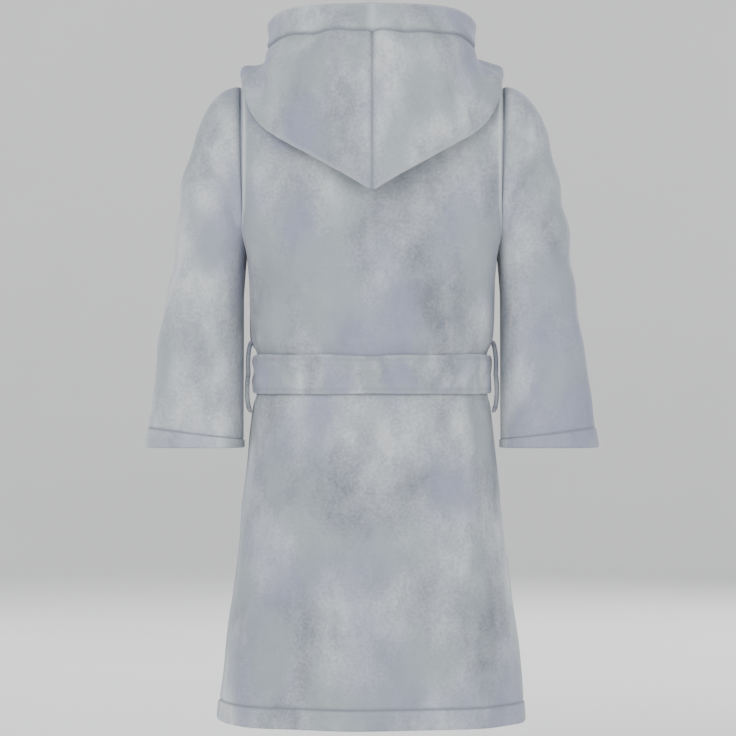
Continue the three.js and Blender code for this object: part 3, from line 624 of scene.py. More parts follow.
@dataclass
class ClothLayer:
    """One layer of cloth, made as a closed shell round the grid of points in its middle."""

    name: str
    grid: Grid
    thickness: np.ndarray
    seed: int
    # painted shade in seams and rows of stitches where positive, painted highlight on raised edges where negative
    crease: np.ndarray | float = 0.0
    ring: bool = False
    woven: bool = False

    def __post_init__(self) -> None:
        """Works out the direction of the thickness at every point."""
        self.thickness = np.broadcast_to(self.thickness, self.grid.shape[:2]).copy()
        self.crease = np.broadcast_to(self.crease, self.grid.shape[:2]).copy()
        self.normals = self.square_to()

    def square_to(self) -> np.ndarray:
        """Directions square to the grid."""
        grid = self.grid
        if self.ring:
            along = np.roll(grid, -1, axis=1) - np.roll(grid, 1, axis=1)
        else:
            padded = np.concatenate([grid[:, :1], grid, grid[:, -1:]], axis=1)
            along = padded[:, 2:] - padded[:, :-2]
        padded = np.concatenate([grid[:1], grid, grid[-1:]], axis=0)
        up = padded[2:] - padded[:-2]
        return unit(np.cross(along, up))

    def keep_in_plane(self, rows: object, columns: object, square: tuple[float, float, float]) -> None:
        """Turns the thickness at an edge into the plane of its seam.

        Args:
            rows: which rows.
            columns: which columns.
            square: direction square to the seam's plane.
        """
        axis = np.array(square) / np.linalg.norm(square)
        part = self.normals[rows, columns]
        self.normals[rows, columns] = unit(part - (part @ axis)[..., None] * axis)

    def raise_by(self, amount: np.ndarray) -> None:
        """Moves the middle of the cloth along its own thickness."""
        self.grid = self.grid + self.normals * np.asarray(amount)[..., None]
        self.normals = self.square_to()

    def faces(self) -> np.ndarray:
        """The four-cornered faces of the shell."""
        rows, columns = self.grid.shape[:2]
        index = np.arange(rows * columns).reshape(rows, columns)
        if self.ring:
            index = np.concatenate([index, index[:, :1]], axis=1)
        other = index + rows * columns
        outer = np.stack([index[:-1, :-1], index[:-1, 1:], index[1:, 1:], index[1:, :-1]], axis=-1)
        inner = np.stack([other[:-1, :-1], other[1:, :-1], other[1:, 1:], other[:-1, 1:]], axis=-1)
        low = np.stack([other[0, :-1], other[0, 1:], index[0, 1:], index[0, :-1]], axis=-1)
        high = np.stack([index[-1, :-1], index[-1, 1:], other[-1, 1:], other[-1, :-1]], axis=-1)
        parts = [outer.reshape(-1, 4), inner.reshape(-1, 4), low, high]
        if not self.ring:
            parts.append(np.stack([index[:-1, 0], index[1:, 0], other[1:, 0], other[:-1, 0]], axis=-1))
            parts.append(np.stack([other[:-1, -1], other[1:, -1], index[1:, -1], index[:-1, -1]], axis=-1))
        return np.concatenate(parts)

    def build(self, form: RobeForm) -> bpy.types.Object:
        """Makes the mesh of the shell.

        Args:
            form: the robe, which says where the frame is.

        Returns:
            The new object, smooth, with the place along the cloth kept at every point.
        """
        half = self.normals * self.thickness[..., None] / 2.0
        both = np.concatenate([(self.grid + half).reshape(-1, 3), (self.grid - half).reshape(-1, 3)])
        faces = self.faces()
        corner = both[faces]
        volume = np.einsum("ij,ij->i", corner[:, 0], np.cross(corner[:, 1], corner[:, 2])).sum()
        volume += np.einsum("ij,ij->i", corner[:, 0], np.cross(corner[:, 2], corner[:, 3])).sum()
        if volume < 0.0:
            faces = faces[:, ::-1]
        if self.woven:
            across = run_along(self.grid, 1)
            up = run_along(self.grid, 0)
            cloth = np.stack([across, up, np.zeros_like(up)], axis=-1).reshape(-1, 3)
            cloth = np.concatenate([cloth, cloth])
        else:
            cloth = both + np.array([0.0, 0.0, 900.0 * self.seed])
        crease = np.tile(self.crease.reshape(-1), 2)
        return make_mesh(self.name, form.to_frame(both), faces, cloth, crease)


def make_mesh(
    name: str, places: np.ndarray, faces: np.ndarray, cloth: np.ndarray, crease: np.ndarray
) -> bpy.types.Object:
    """Makes a smooth mesh object and links it to the scene.

    Args:
        name: the piece's name.
        places: its points, in metres in the frame.
        faces: its faces.
        cloth: the place along the cloth of each point, in millimetres, for the finish.
        crease: painted shade where a point lies in a seam or a row of stitches, up to 1, and painted highlight on
            raised edges, folds and seam ridges, down to -1.

    Returns:
        The object.
    """
    mesh = bpy.data.meshes.new(name)
    mesh.from_pydata(places.tolist(), [], faces.tolist())
    mesh.attributes.new("cloth", "FLOAT_VECTOR", "POINT").data.foreach_set("vector", cloth.astype(np.float32).ravel())
    mesh.attributes.new("crease", "FLOAT", "POINT").data.foreach_set("value", crease.astype(np.float32))
    mesh.shade_smooth()
    piece = bpy.data.objects.new(name, mesh)
    bpy.context.scene.collection.objects.link(piece)
    return piece


def edge_profile(distance: np.ndarray, reach: float, edge: Edge) -> np.ndarray:
    """Share of the full thickness at a distance from an edge: thin where it is sewn, round where it is free."""
    near = np.clip(distance / reach, 0.0, 1.0)
    return mix(edge.value, 1.0, np.sqrt(1.0 - (1.0 - near) ** 2))


def cloth_area(piece: bpy.types.Object) -> float:
    """Area of a piece's cloth in square metres, which is half the surface of its shell."""
    return sum(face.area for face in piece.data.polygons) / 2.0


@dataclass(frozen=True)
class Cut:
    """How one piece was cut and is held.

    The size is its width and length in metres, and the area is less where the cut isn't a rectangle.
    """

    flat: tuple[float, float]
    held: str
    rests_on: tuple[str, ...]
    area: float | None = None


def dress_piece(
    piece: bpy.types.Object, finish: bpy.types.Material, nodes: tuple[str, ...], slot: str, cut: Cut
) -> None:
    """Gives a piece its finish, hides the parts of the frame that it stands for and logs its size.

    Args:
        piece: the piece.
        finish: its material.
        nodes: the frame's nodes that it replaces.
        slot: the name of a finish slot; not used.
        cut: its flat size and how it is held.
    """
    piece.data.materials.append(finish)
    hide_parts(*nodes)
    list(cut.rests_on)
    log.info("%s: %.4f m2 of cloth, %d faces", piece.name, cloth_area(piece), len(piece.data.polygons))


ARMHOLE_SQUARE = (175.0, 0.0, -5.5)  # direction square to the left armhole


@dataclass
class BackPanel:
    """The back of the robe, one piece from the hem to the shoulders."""

    form: RobeForm
    cut: Cut = Cut(flat=(0.42, 0.72), held="hung", rests_on=("neck_tape_cloth",), area=0.27)

    def build(self) -> bpy.types.Object:
        """Lays the panel on the form, from side seam to side seam."""
        form = self.form
        near = np.array([0.0, 0.0022, 0.0052, 0.009, 0.014])
        places = np.concatenate([near, spaced(0.022, 0.978, 0.0094), 1.0 - near[::-1]])
        heights = form.heights()
        levels = form.levels()
        height = np.concatenate([heights, np.full_like(levels, form.armpit_height)])[:, None]
        level = np.concatenate([np.zeros_like(heights), levels])[:, None]
        share = np.broadcast_to(along_oval(1.0, np.array([-1.0]), places), (len(height), len(places)))
        grid = form.draped(share, height, level, Facing.BACK.value)
        inner = smooth((1.0 - np.abs(share[0])) / 0.05)
        grid = ease_rows(grid, len(heights), inner)
        grid[..., 1] = np.maximum(grid[..., 1], HALF_SEAM)
        side = run_along(grid, 1)
        side = np.minimum(side, side[:, -1:] - side)
        lowest = run_along(grid, 0)
        top = lowest[-1:] - lowest
        sewn = edge_profile(side, 4.5, Edge.SEWN) * edge_profile(top, 4.0, Edge.SEWN)
        thickness = form.hem_profile(height) * sewn
        # Painted shade along the hem's row of stitches and at both side seams.
        crease = 0.8 * bump(height, form.hem_band + 1.2, 1.4) + 0.7 * bump(side, 0.0, 2.0)
        above = smooth((grid[..., 2] - form.armpit_height - 4.0) / 20.0)
        ridge = bump(side, 4.6, 2.2) * above
        thickness = thickness + 1.8 * ridge
        # Painted highlight along the raised ridge beside each armhole seam.
        crease = crease - 0.85 * ridge
        layer = ClothLayer("back_panel_cloth", grid, thickness, 1, crease)
        below = slice(0, len(heights))
        above = slice(len(heights), None)
        last = len(height) - 1
        x, y, z = ARMHOLE_SQUARE
        for column, sign in ((0, 1.0), (-1, -1.0)):
            layer.keep_in_plane(below, column, (0.0, 1.0, 0.0))
            layer.keep_in_plane(above, column, (sign * x, y, z))
        shoulder = np.abs(grid[last, :, 0]) >= form.neck_half_width - 1.0
        layer.keep_in_plane(last, shoulder, (0.0, 1.0, 0.0))
        layer.keep_in_plane(last, ~shoulder, (0.0, 0.0, 1.0))
        return layer.build(form)

    def dress(self, piece: bpy.types.Object) -> None:
        """Finishes the panel in fleece and rides it on the robe."""
        finish = PolyesterFleece(name="polyester_fleece_back").material()
        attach(piece, "robe")
        dress_piece(piece, finish, ("back_panel",), "back_panel", self.cut)


@dataclass
class FrontPanel:
    """One front of the robe, from the side seam to its free edge and from the hem to the shoulder."""

    form: RobeForm
    side: Side
    reach: float  # how far the free edge passes the middle
    facing_width: float = 18.0  # turned and stitched edge
    facing_thickness: float = 5.6

    def edge_share(self, height: np.ndarray, level: np.ndarray) -> np.ndarray:
        """Share of the half width where the free edge lies."""
        form = self.form
        below = np.maximum(-self.reach, form.neck_half_width - (form.neck_height - height) * form.lapel_slope)
        rise = (form.neck_height - form.armpit_height) * (1.0 - level)
        above = form.neck_half_width - rise * form.lapel_slope
        return np.where(level > 0.0, above / form.armhole_across(level), below / form.half_width(height))

    def build(self) -> bpy.types.Object:
        """Lays the front on the form, a little out or in where the two fronts lap."""
        form = self.form
        sign = self.side.value
        near = np.array([0.0, 0.004, 0.0095, 0.017, 0.027])
        places = np.concatenate([near, spaced(0.042, 0.93, 0.0165), [0.945, 0.955, 0.964, 0.975, 0.985, 0.993, 1.0]])
        heights = form.heights()
        levels = form.levels()
        height = np.concatenate([heights, np.full_like(levels, form.armpit_height)])[:, None]
        level = np.concatenate([np.zeros_like(heights), levels])[:, None]
        share = along_oval(1.0, self.edge_share(height, level), places)
        grid = form.draped(sign * share, height, level, Facing.FRONT.value)
        grid = ease_rows(grid, len(heights), smooth((1.0 - share[len(heights)]) / 0.05))
        own = sign * grid[..., 0]
        grid[..., 1] = np.minimum(grid[..., 1] - sign * form.lap(own, level), -HALF_SEAM)
        across = run_along(grid, 1)
        free = across[:, -1:] - across
        lowest = run_along(grid, 0)
        top = lowest[-1:] - lowest
        turned = (1.0 - smooth((free - self.facing_width) / 2.5)) * (1.0 - smooth((grid[..., 2] - 560.0) / 40.0))
        thickness = np.maximum(form.hem_profile(height), mix(form.fleece, self.facing_thickness, turned))
        stitch = bump(free, self.facing_width + 1.4, 1.6) * (1.0 - smooth((grid[..., 2] - 560.0) / 40.0))
        low_edge = mix(0.62, 1.0, np.sqrt(np.clip(height / 2.6, 0.0, 1.0)))
        thickness = (thickness - 1.4 * stitch) * np.minimum(low_edge, 1.0)
        sewn = edge_profile(across, 4.5, Edge.SEWN) * edge_profile(top, 4.0, Edge.SEWN)
        thickness = thickness * sewn * edge_profile(free, 2.8, Edge.ROUNDED)
        groove = bump(height, form.hem_band + 1.2, 1.4)
        thickness = thickness - 1.6 * groove * np.minimum(sewn, 1.0)
        # Painted shade in the rows of stitches of the hem and the facing, and at the side seam.
        crease = 0.6 * np.maximum(groove, stitch) + 0.5 * bump(across, 0.0, 2.2)
        layer = ClothLayer(f"{self.side.word}_front_cloth", grid, thickness, 2 + (1 - sign), crease)
        x, y, z = ARMHOLE_SQUARE
        layer.keep_in_plane(slice(0, len(heights)), 0, (0.0, 1.0, 0.0))
        layer.keep_in_plane(slice(len(heights), None), 0, (sign * x, y, z))
        layer.keep_in_plane(-1, slice(None), (0.0, 1.0, 0.0))
        return layer.build(form)

    def dress(self, piece: bpy.types.Object) -> None:
        """Finishes the front in fleece and bakes its place into its mesh."""
        word = self.side.word
        finish = PolyesterFleece(name=f"polyester_fleece_{word}_front").material()
        swing_with_front(self.form, piece, self.side)
        cut = Cut(flat=(0.27, 0.72), held="hung", rests_on=("back_panel_cloth",), area=0.165)
        nodes = (f"{word}_front_upper", f"{word}_front_side", f"{word}_front_flap")
        dress_piece(piece, finish, nodes, f"{word}_front_flap", cut)


def swing_with_front(form: RobeForm, piece: bpy.types.Object, side: Side) -> None:
    """Bakes the placement of a piece that lies on a front into its mesh.

    Args:
        form: the robe; not used.
        piece: the piece.
        side: the front that it lies on; not used.
    """
    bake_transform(piece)


@dataclass
class Sleeve:
    """A set-in sleeve that hangs beside the body, wide at the armhole and turned up at the cuff."""

    form: RobeForm
    side: Side
    # painted light: how much lighter this sleeve's fleece is drawn
    lift: float
    drop: float = 378.0
    spread: float = 97.0
    inner_cuff: float = 137.0
    half_depth: float = 43.0
    cuff_half_depth: float = 33.0
    set_back: float = 12.0
    gap: float = 0.8

    def over_arm(self, stations: np.ndarray) -> np.ndarray:
        """Outer line of the sleeve, from the shoulder tip to the cuff, at shares of its length."""
        form = self.form
        tip = np.array([form.shoulder_half_width + self.gap, form.shoulder_height])
        pulls = [
            tip,
            tip + [0.58 * self.spread, -4.0],
            tip + [0.63 * self.spread, -0.36 * self.drop],
            tip + [self.spread, -self.drop],
        ]
        t = np.linspace(0.0, 1.0, 600)[:, None]
        weights = [(1 - t) ** 3, 3 * t * (1 - t) ** 2, 3 * t * t * (1 - t), t**3]
        line = sum(w * p for w, p in zip(weights, pulls))
        length = np.concatenate([[0.0], np.cumsum(np.linalg.norm(np.diff(line, axis=0), axis=1))])
        at = stations * length[-1]
        self.length = float(length[-1])
        return np.stack([np.interp(at, length, line[:, 0]), np.interp(at, length, line[:, 1])], axis=-1)

    def build(self) -> bpy.types.Object:
        """Lays the sleeve round the arm and presses its soft diagonal folds into it."""
        form = self.form
        sign = self.side.value
        band = 1.0 - form.hem_band / 396.0
        start = np.array([0.0, 0.003, 0.008, 0.014])
        stitches = band + np.array([-0.011, -0.0075, -0.005, -0.003, -0.001, 0.002])
        turned = np.concatenate([spaced(band + 0.006, 0.988, 0.008), [0.993, 0.997, 1.0]])
        t = np.concatenate([start, spaced(0.022, band - 0.016, 0.0102), stitches, turned])
        outer = self.over_arm(t)
        first = form.chest_half_width + form.armhole_ease + self.gap
        inner_x = mix(first, self.inner_cuff, np.minimum(6.0 * t, 1.0) ** 0.6)
        inner_z = mix(form.armpit_height, form.shoulder_height - self.drop, t**0.85)
        inner = np.stack([inner_x, inner_z], axis=-1)
        middle = (outer + inner) / 2.0
        arm = outer - middle
        deep = np.where(
            t < 0.5,
            mix(form.armhole_half_depth, self.half_depth, smooth(2.0 * t)),
            mix(self.half_depth, self.cuff_half_depth, smooth(2.0 * t - 1.0)),
        )[:, None]
        turn = np.linspace(0.0, 2.0 * math.pi, 109)[None, :-1]
        around = mix(0.9, 1.0, smooth(t))[:, None]
        wave = np.sign(np.sin(turn)) * np.abs(np.sin(turn)) ** around
        grid = points(
            sign * (middle[:, :1] + arm[:, :1] * np.cos(turn)),
            deep * wave + self.set_back * smooth(t)[:, None],
            middle[:, 1:] + arm[:, 1:] * np.cos(turn),
        )
        place = (t * self.length)[:, None] + 0.0 * turn
        cuff = self.length - place
        thickness = form.hem_profile(cuff) * edge_profile(place, 4.5, Edge.SEWN)
        # Painted shade along the cuff's row of stitches and at the armhole seam.
        crease = 0.8 * bump(cuff, form.hem_band + 1.2, 1.4) + 0.9 * bump(place, 1.0, 3.2)
        name = f"{self.side.word}_sleeve_cloth"
        layer = ClothLayer(name, grid, thickness, 7 + sign, crease, ring=True)
        outward = np.sign(np.sum(layer.normals[5, 0] * [sign, 0.0, 0.0]))
        layer.raise_by(outward * self.folds(place, turn, grid))
        layer.keep_in_plane(0, slice(None), (sign * ARMHOLE_SQUARE[0], 0.0, ARMHOLE_SQUARE[2]))
        return layer.build(form)

    def folds(self, place: np.ndarray, turn: np.ndarray, grid: Grid) -> np.ndarray:
        """How far the cloth of the sleeve stands out of its plain form.

        Args:
            place: length down the sleeve.
            turn: angle round it, 0 at the outside and a quarter turn at the back.
            grid: its points.

        Returns:
            Millimetres outward, none against the body, at the armhole or at the cuff.
        """
        free = smooth((np.cos(turn) + 0.92) / 0.7)
        start = smooth((place - 5.0) / 28.0)
        end = 1.0 - 0.8 * smooth((place - self.length + 55.0) / 30.0)
        out = np.abs(grid[..., 0]) - 176.0
        up = grid[..., 2] - 585.0
        square = 0.814 * out - 0.581 * up  # distance from the line of the main fold, outward and down
        down = -0.581 * out - 0.814 * up  # run along it, from the arm down to the armhole
        along = smooth((down + 34.0) / 34.0) * (1.0 - smooth((down - 62.0) / 30.0))
        faces = smooth(np.abs(np.sin(turn)) / 0.8)
        valley = -6.0 * bump(square, 2.0, 10.5) * faces
        ridges = 3.4 * bump(square, -15.0, 9.5) + 3.0 * bump(square, 25.0, 17.0)
        second = 2.2 * bump(square, 60.0, 14.0) - 2.8 * bump(square, 44.0, 11.0)
        diagonal = (valley + (ridges + 0.8 * second) * free) * along
        elbow = bump(place, 215.0, 42.0)
        creases = elbow * (1.3 * np.cos((place - 34.0 * np.cos(turn)) / 10.6) + 0.7 * np.cos(square / 13.0))
        hang = 1.4 * np.cos(3.0 * turn + 0.012 * place + 0.8) * smooth((place - 150.0) / 120.0)
        uneven = 1.1 * Lumps(20 + self.side.value, 45.0, 110.0).at(grid)
        puff = 0.8 * bump(place, 14.0, 12.0) * smooth(np.cos(turn))
        return (diagonal + (creases + hang + uneven) * free) * start * end + puff * free

    def dress(self, piece: bpy.types.Object) -> None:
        """Finishes the sleeve in fleece and bakes its place into its mesh."""
        word = self.side.word
        finish = PolyesterFleece(name=f"polyester_fleece_{word}_sleeve", lift=self.lift).material()
        sign = self.side.value
        lean = 0.35
        hinge = self.form.shoulder_half_width
        start_run, end_run = 62.0, 130.0
        step = (end_run - start_run) / (1.0 + lean * lean)
        start = np.array([sign * (hinge + start_run), 0.0, 668.0])
        end = start + np.array([sign * step, 0.0, -lean * step])
        tuple(self.form.to_frame(start))
        tuple(self.form.to_frame(end))
        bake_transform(piece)
        cut = Cut(flat=(0.33, 0.41), held="hung", rests_on=("back_panel_cloth",), area=0.105)
        dress_piece(piece, finish, (f"{word}_sleeve",), f"{word}_sleeve", cut)


@dataclass
class Hood:
    """The hood, cut in two halves joined by a seam, lying folded back with its edge standing up round the neck."""

    form: RobeForm
    drop: float = 147.0
    depth: float = 118.0
    rim_rise: float = 45.0
    rim_half_width: float = 106.0
    rim_depth: float = 84.0
    band: float = 30.0
    fold_radius: float = 7.0
    fold_rise: float = 78.0
    fold_lift: float = 46.0
    knots: int = 8  # stretches of the line from the edge to the neck seam
    fold_knot: int = 3  # how many of them lie before the fold
    stand: float = 38.0  # height of the part of the hood that stands straight up beside the neck
    shoulder_place: float = 0.62
    collar_level: float = 0.7
    collar_width: float = 0.22
    across_count: int = 92
    down_count: int = 118

    def off_bodice(self, share: float, level: float, facing: int, distance: float) -> np.ndarray:
        """A place at a distance off the bodice."""
        form = self.form
        small = 0.01
        at = form.bodice(np.float64(share), np.float64(level), facing)
        low = min(level, 0.97)
        foot = form.bodice(np.float64(share), np.float64(low), facing)
        aside = share - small if share > 0.5 else share + small
        across = form.bodice(np.float64(aside), np.float64(low), facing) - foot
        up = form.bodice(np.float64(share), np.float64(low - small), facing) - foot
        normal = unit(np.cross(across, up))
        if facing * normal[1] < 0.0:
            normal = -normal
        if level > 0.999 and abs(at[0]) > form.neck_half_width - 2.0:
            normal[1] = 0.0
            normal = unit(normal)
        return at + normal * distance

    def lapel_share(self, level: float) -> float:
        """Share of the half width where the free edge of a front lies."""
        form = self.form
        rise = (form.neck_height - form.armpit_height) * (1.0 - level)
        return float((form.neck_half_width - rise * form.lapel_slope) / form.armhole_across(np.float64(level)))

    def places(self, p: float) -> tuple[int, tuple[float, float], tuple[float, float], np.ndarray]:
        """Where the neck seam and the fold lie at one place along the neck.

        Args:
            p: place along the neck line, 0 at the middle of the back and 1 at the end on the front.

        Returns:
            The facing, share and level at the neck seam, share and level under the fold, and the fold itself.
        """
        form = self.form
        tip = form.shoulder_half_width - 2.0
        if p <= self.shoulder_place:
            turn = p / self.shoulder_place * math.pi / 2.0
            out = math.sin(turn)
            across = tip * out
            height = form.neck_height - self.drop + self.fold_rise * out + self.fold_lift * out**14 + 1.0
            inside = math.sqrt(max(1.0 - (across / form.neck_half_width) ** 2, 0.0))
            top = float(form.top_height(np.float64(across))) - form.back_neck_drop * inside
            level = min((height - form.armpit_height) / (top - form.armpit_height), 1.0)
            share = across / float(form.armhole_across(np.float64(level)))
            skin = form.bodice(np.float64(share), np.float64(level), 1)[1]
            inward = max(math.cos(turn), 0.0)
            off = skin + 2.2 * self.fold_radius * inward**0.3
            depth = 0.0 if inward < 0.01 else max(self.depth * inward**1.2, off)
            neck = (form.neck_half_width * out / form.shoulder_half_width, 1.0)
            return 1, neck, (share, level), np.array([across, depth, height])
        t = (p - self.shoulder_place) / (1.0 - self.shoulder_place)
        level = 1.0 + (self.collar_level - 1.0) * t
        start = tip / form.shoulder_half_width
        share = start + (self.lapel_share(level) + self.collar_width - start) * t**0.8
        fold = self.off_bodice(share, level, -1, 2.5 * form.fleece)
        return -1, (self.lapel_share(level), level), (share, level), fold

    def profile(self, p: float) -> np.ndarray:
        """Points from the hood's edge round the fold and back to the neck seam, evenly spaced at one place."""
        form = self.form
        facing, neck_at, under_at, fold = self.places(p)
        rest = form.fleece + 0.5
        neck = self.off_bodice(*neck_at, facing, rest)
        if facing > 0:
            turn = p / self.shoulder_place * math.pi / 2.0
            out = math.sin(turn)
            rim = np.array(
                [
                    self.rim_half_width * out,
                    self.rim_depth * math.cos(turn),
                    form.neck_height + self.rim_rise - 11.0 * out**8,
                ]
            )
        else:
            forward = ((p - self.shoulder_place) / (1.0 - self.shoulder_place)) ** 0.7
            rim = mix(neck, fold, 0.58)
            rim = rim + np.array([0.0, -12.0 * forward, 44.0 * (1.0 - forward) + 6.0 * forward])
            out = 1.0 - forward
        up_outer = rim - fold
        inward = unit(unit(up_outer) + unit(neck - fold))
        apart = rim - neck
        apart = unit(apart - (apart @ inward) * inward)
        long_outer = float(np.linalg.norm(up_outer))
        radius = min(self.fold_radius, 0.2 * long_outer)
        outer = fold + inward * radius + apart * radius
        inner = fold + inward * radius - apart * radius
        middle = mix(rim, outer, 0.5) + apart * 0.06 * long_outer
        upright = rim + np.array([-1.0, 0.0, -self.stand])
        middle = mix(middle, upright, out**3)
        first = inner - form.bodice(np.float64(under_at[0]), np.float64(under_at[1]), facing)
        line = [rim, middle, outer, fold, inner]
        for u in (0.25, 0.5, 0.75, 1.0):
            share = under_at[0] + (neck_at[0] - under_at[0]) * u
            level = under_at[1] + (neck_at[1] - under_at[1]) * u
            skin = form.bodice(np.float64(share), np.float64(level), facing)
            last = self.off_bodice(share, level, facing, rest) - skin
            line.append(skin + mix(first, last, smooth(u)) + np.array([0.0, 0.0, 3.0 * math.sin(u * math.pi)]))
        return rounded_line(np.array(line), 360)

    def build(self) -> bpy.types.Object:
        """Lays both halves as one grid, with the centre seam, the turned edge and soft dents."""
        form = self.form
        near = np.array([0.0, 0.007, 0.016, 0.028, 0.042])
        places = np.concatenate([near, np.linspace(0.058, 1.0, self.across_count)])
        halves, folds = [], []
        for p in places:
            line = self.profile(float(p))
            length = run_along(line[None], 1)[0]
            total = length[-1]
            folds.append(length[round(self.fold_knot / self.knots * (len(line) - 1))])
            band = min(self.band, 0.3 * total)
            steps = np.array([0.0, 0.8, 2.0, 4.5]) / total
            edge = np.array([-2.6, -1.2, 0.0, 1.2, 2.6, 5.0]) / total
            band_share = band / total
            middle = np.linspace(steps[-1], band_share + edge[0], 7)[1:-1]
            rest = np.linspace(band_share + edge[-1], 1.0, self.down_count - 16)[1:]
            at = np.concatenate([steps, middle, band_share + edge, rest]) * total
            halves.append(np.stack([np.interp(at, length, line[:, k]) for k in range(3)], axis=-1))
        half = np.array(halves)
        shoulder = int(np.argmin(np.abs(places - self.shoulder_place)))
        for _ in range(3):
            part = half[shoulder - 3 : shoulder + 4]
            blended = (part[:-2] + 2.0 * part[1:-1] + part[2:]) / 4.0
            half[shoulder - 2 : shoulder + 3] = blended
        half[0, :, 0] = 0.0
        mirrored = half[:0:-1] * np.array([-1.0, 1.0, 1.0])
        grid = np.concatenate([mirrored, half])
        down = run_along(grid, 1)
        total = down[:, -1:]
        middle_row = len(mirrored)
        sewn = np.abs(run_along(grid, 0) - run_along(grid, 0)[middle_row])
        along = np.abs(np.concatenate([-places[:0:-1], places]))[:, None]
        band = np.minimum(self.band, 0.3 * total)
        crease_band = bump(down - band, 0.0, 1.6)
        thick = mix(6.0, form.fleece, smooth((down - band + 1.0) / 2.5))
        thick = (thick - 2.2 * crease_band) * edge_profile(down, 3.0, Edge.ROUNDED)
        thick = thick * edge_profile(total - down, 3.0, Edge.ROUNDED)
        seam = bump(sewn, 0.0, 2.0)
        thick = thick - 1.9 * seam * np.ones_like(down) + 1.2 * bump(sewn, 5.5, 3.2)
        fold = np.array(folds[:0:-1] + folds)[:, None]
        # Painted highlight along the hood's fold and along its rim.
        fold_and_rim_highlight = 0.8 * bump(down - fold, 0.0, 3.4) + 0.35 * bump(down, 0.0, 3.0)
        # Painted shade in the band's row of stitches and in the centre seam, less the painted highlight.
        crease = np.maximum(0.8 * crease_band, 0.8 * seam) - fold_and_rim_highlight
        on_band = 1.0 - smooth((down - band + 2.0) / 3.0)
        # Painted highlight on the centre seam's ridge where it crosses the band.
        crease = mix(crease, -0.5, on_band * bump(sewn, 0.0, 3.4))
        layer = ClothLayer("hood_cloth", grid, np.maximum(thick, 1.4), 12, crease)
        outer = 1.0 - smooth((down / total - 0.36) / 0.1)
        wide = smooth(along / 0.1) * (1.0 - smooth((along - 0.5) / 0.12))
        soft = 1.9 * Lumps(31, 48.0, 95.0).at(grid) + 1.1 * Lumps(32, 24.0, 44.0).at(grid)
        crown = 3.2 * np.sin(np.clip(down / total / 0.42, 0.0, 1.0) * math.pi) * wide
        lines = 1.5 * np.cos(sewn / 8.0 + down / 26.0) * bump(down / total, 0.17, 0.14) * wide
        edge_quiet = smooth((down - 2.0) / 22.0)
        flip = 1.0 if layer.normals[middle_row, 20, 1] > 0.0 else -1.0
        amount = outer * edge_quiet * (soft * smooth(sewn / 14.0) * (1.0 - smooth((along - 0.55) / 0.2)) + crown + lines)
        valley = (-1.7 * bump(sewn, 0.0, 3.0) + 0.9 * bump(sewn, 6.0, 3.0)) * outer * (1.0 - on_band)
        rolled = on_band * (1.6 + 2.4 * bump(sewn, 0.0, 4.0)) - 1.6 * bump(down - band, 3.0, 5.0)
        layer.raise_by(flip * (amount + valley + rolled * (1.0 - smooth((along - 0.8) / 0.15))))
        return layer.build(form)

    def dress(self, piece: bpy.types.Object) -> None:
        """Finishes the hood in fleece and bakes its place into its mesh."""
        # Painted light: the hood's fleece is drawn a little lighter.
        finish = PolyesterFleece(name="polyester_fleece_hood", lift=0.25).material()
        start, end = 46.0, 88.0
        tuple(self.form.to_frame(np.array([0.0, start, self.form.neck_height])))
        tuple(self.form.to_frame(np.array([0.0, end, self.form.neck_height])))
        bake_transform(piece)
        nodes = ("hood_left_panel", "hood_right_panel", "hood_left_front_end", "hood_right_front_end")
        cut = Cut(flat=(0.50, 0.30), held="folded", rests_on=("back_panel_cloth",), area=0.12)
        dress_piece(piece, finish, nodes, "hood_left_panel", cut)


def rounded_line(knots: np.ndarray, count: int) -> np.ndarray:
    """A smooth line through points that neither loops nor overshoots.

    Args:
        knots: the points.
        count: how many points to give.

    Returns:
        Points of the line, close together.
    """
    before = 2.0 * knots[0] - knots[1]
    after = 2.0 * knots[-1] - knots[-2]
    padded = np.vstack([before, knots, after])
    places = np.linspace(0.0, len(knots) - 1.0, count)
    step = np.minimum(places.astype(int), len(knots) - 2)
    t = (places - step)[:, None]
    p0, p1, p2, p3 = (padded[step + k] for k in range(4))
    d0, d1, d2 = (
        np.sqrt(np.linalg.norm(b - a, axis=1, keepdims=True)) for a, b in ((p0, p1), (p1, p2), (p2, p3))
    )
    leave = ((p1 - p0) / d0 - (p2 - p0) / (d0 + d1) + (p2 - p1) / d1) * d1
    arrive = ((p2 - p1) / d1 - (p3 - p1) / (d1 + d2) + (p3 - p2) / d2) * d1
    square = -3.0 * p1 + 3.0 * p2 - 2.0 * leave - arrive
    cube = 2.0 * p1 - 2.0 * p2 + leave + arrive
    return p1 + leave * t + square * t**2 + cube * t**3


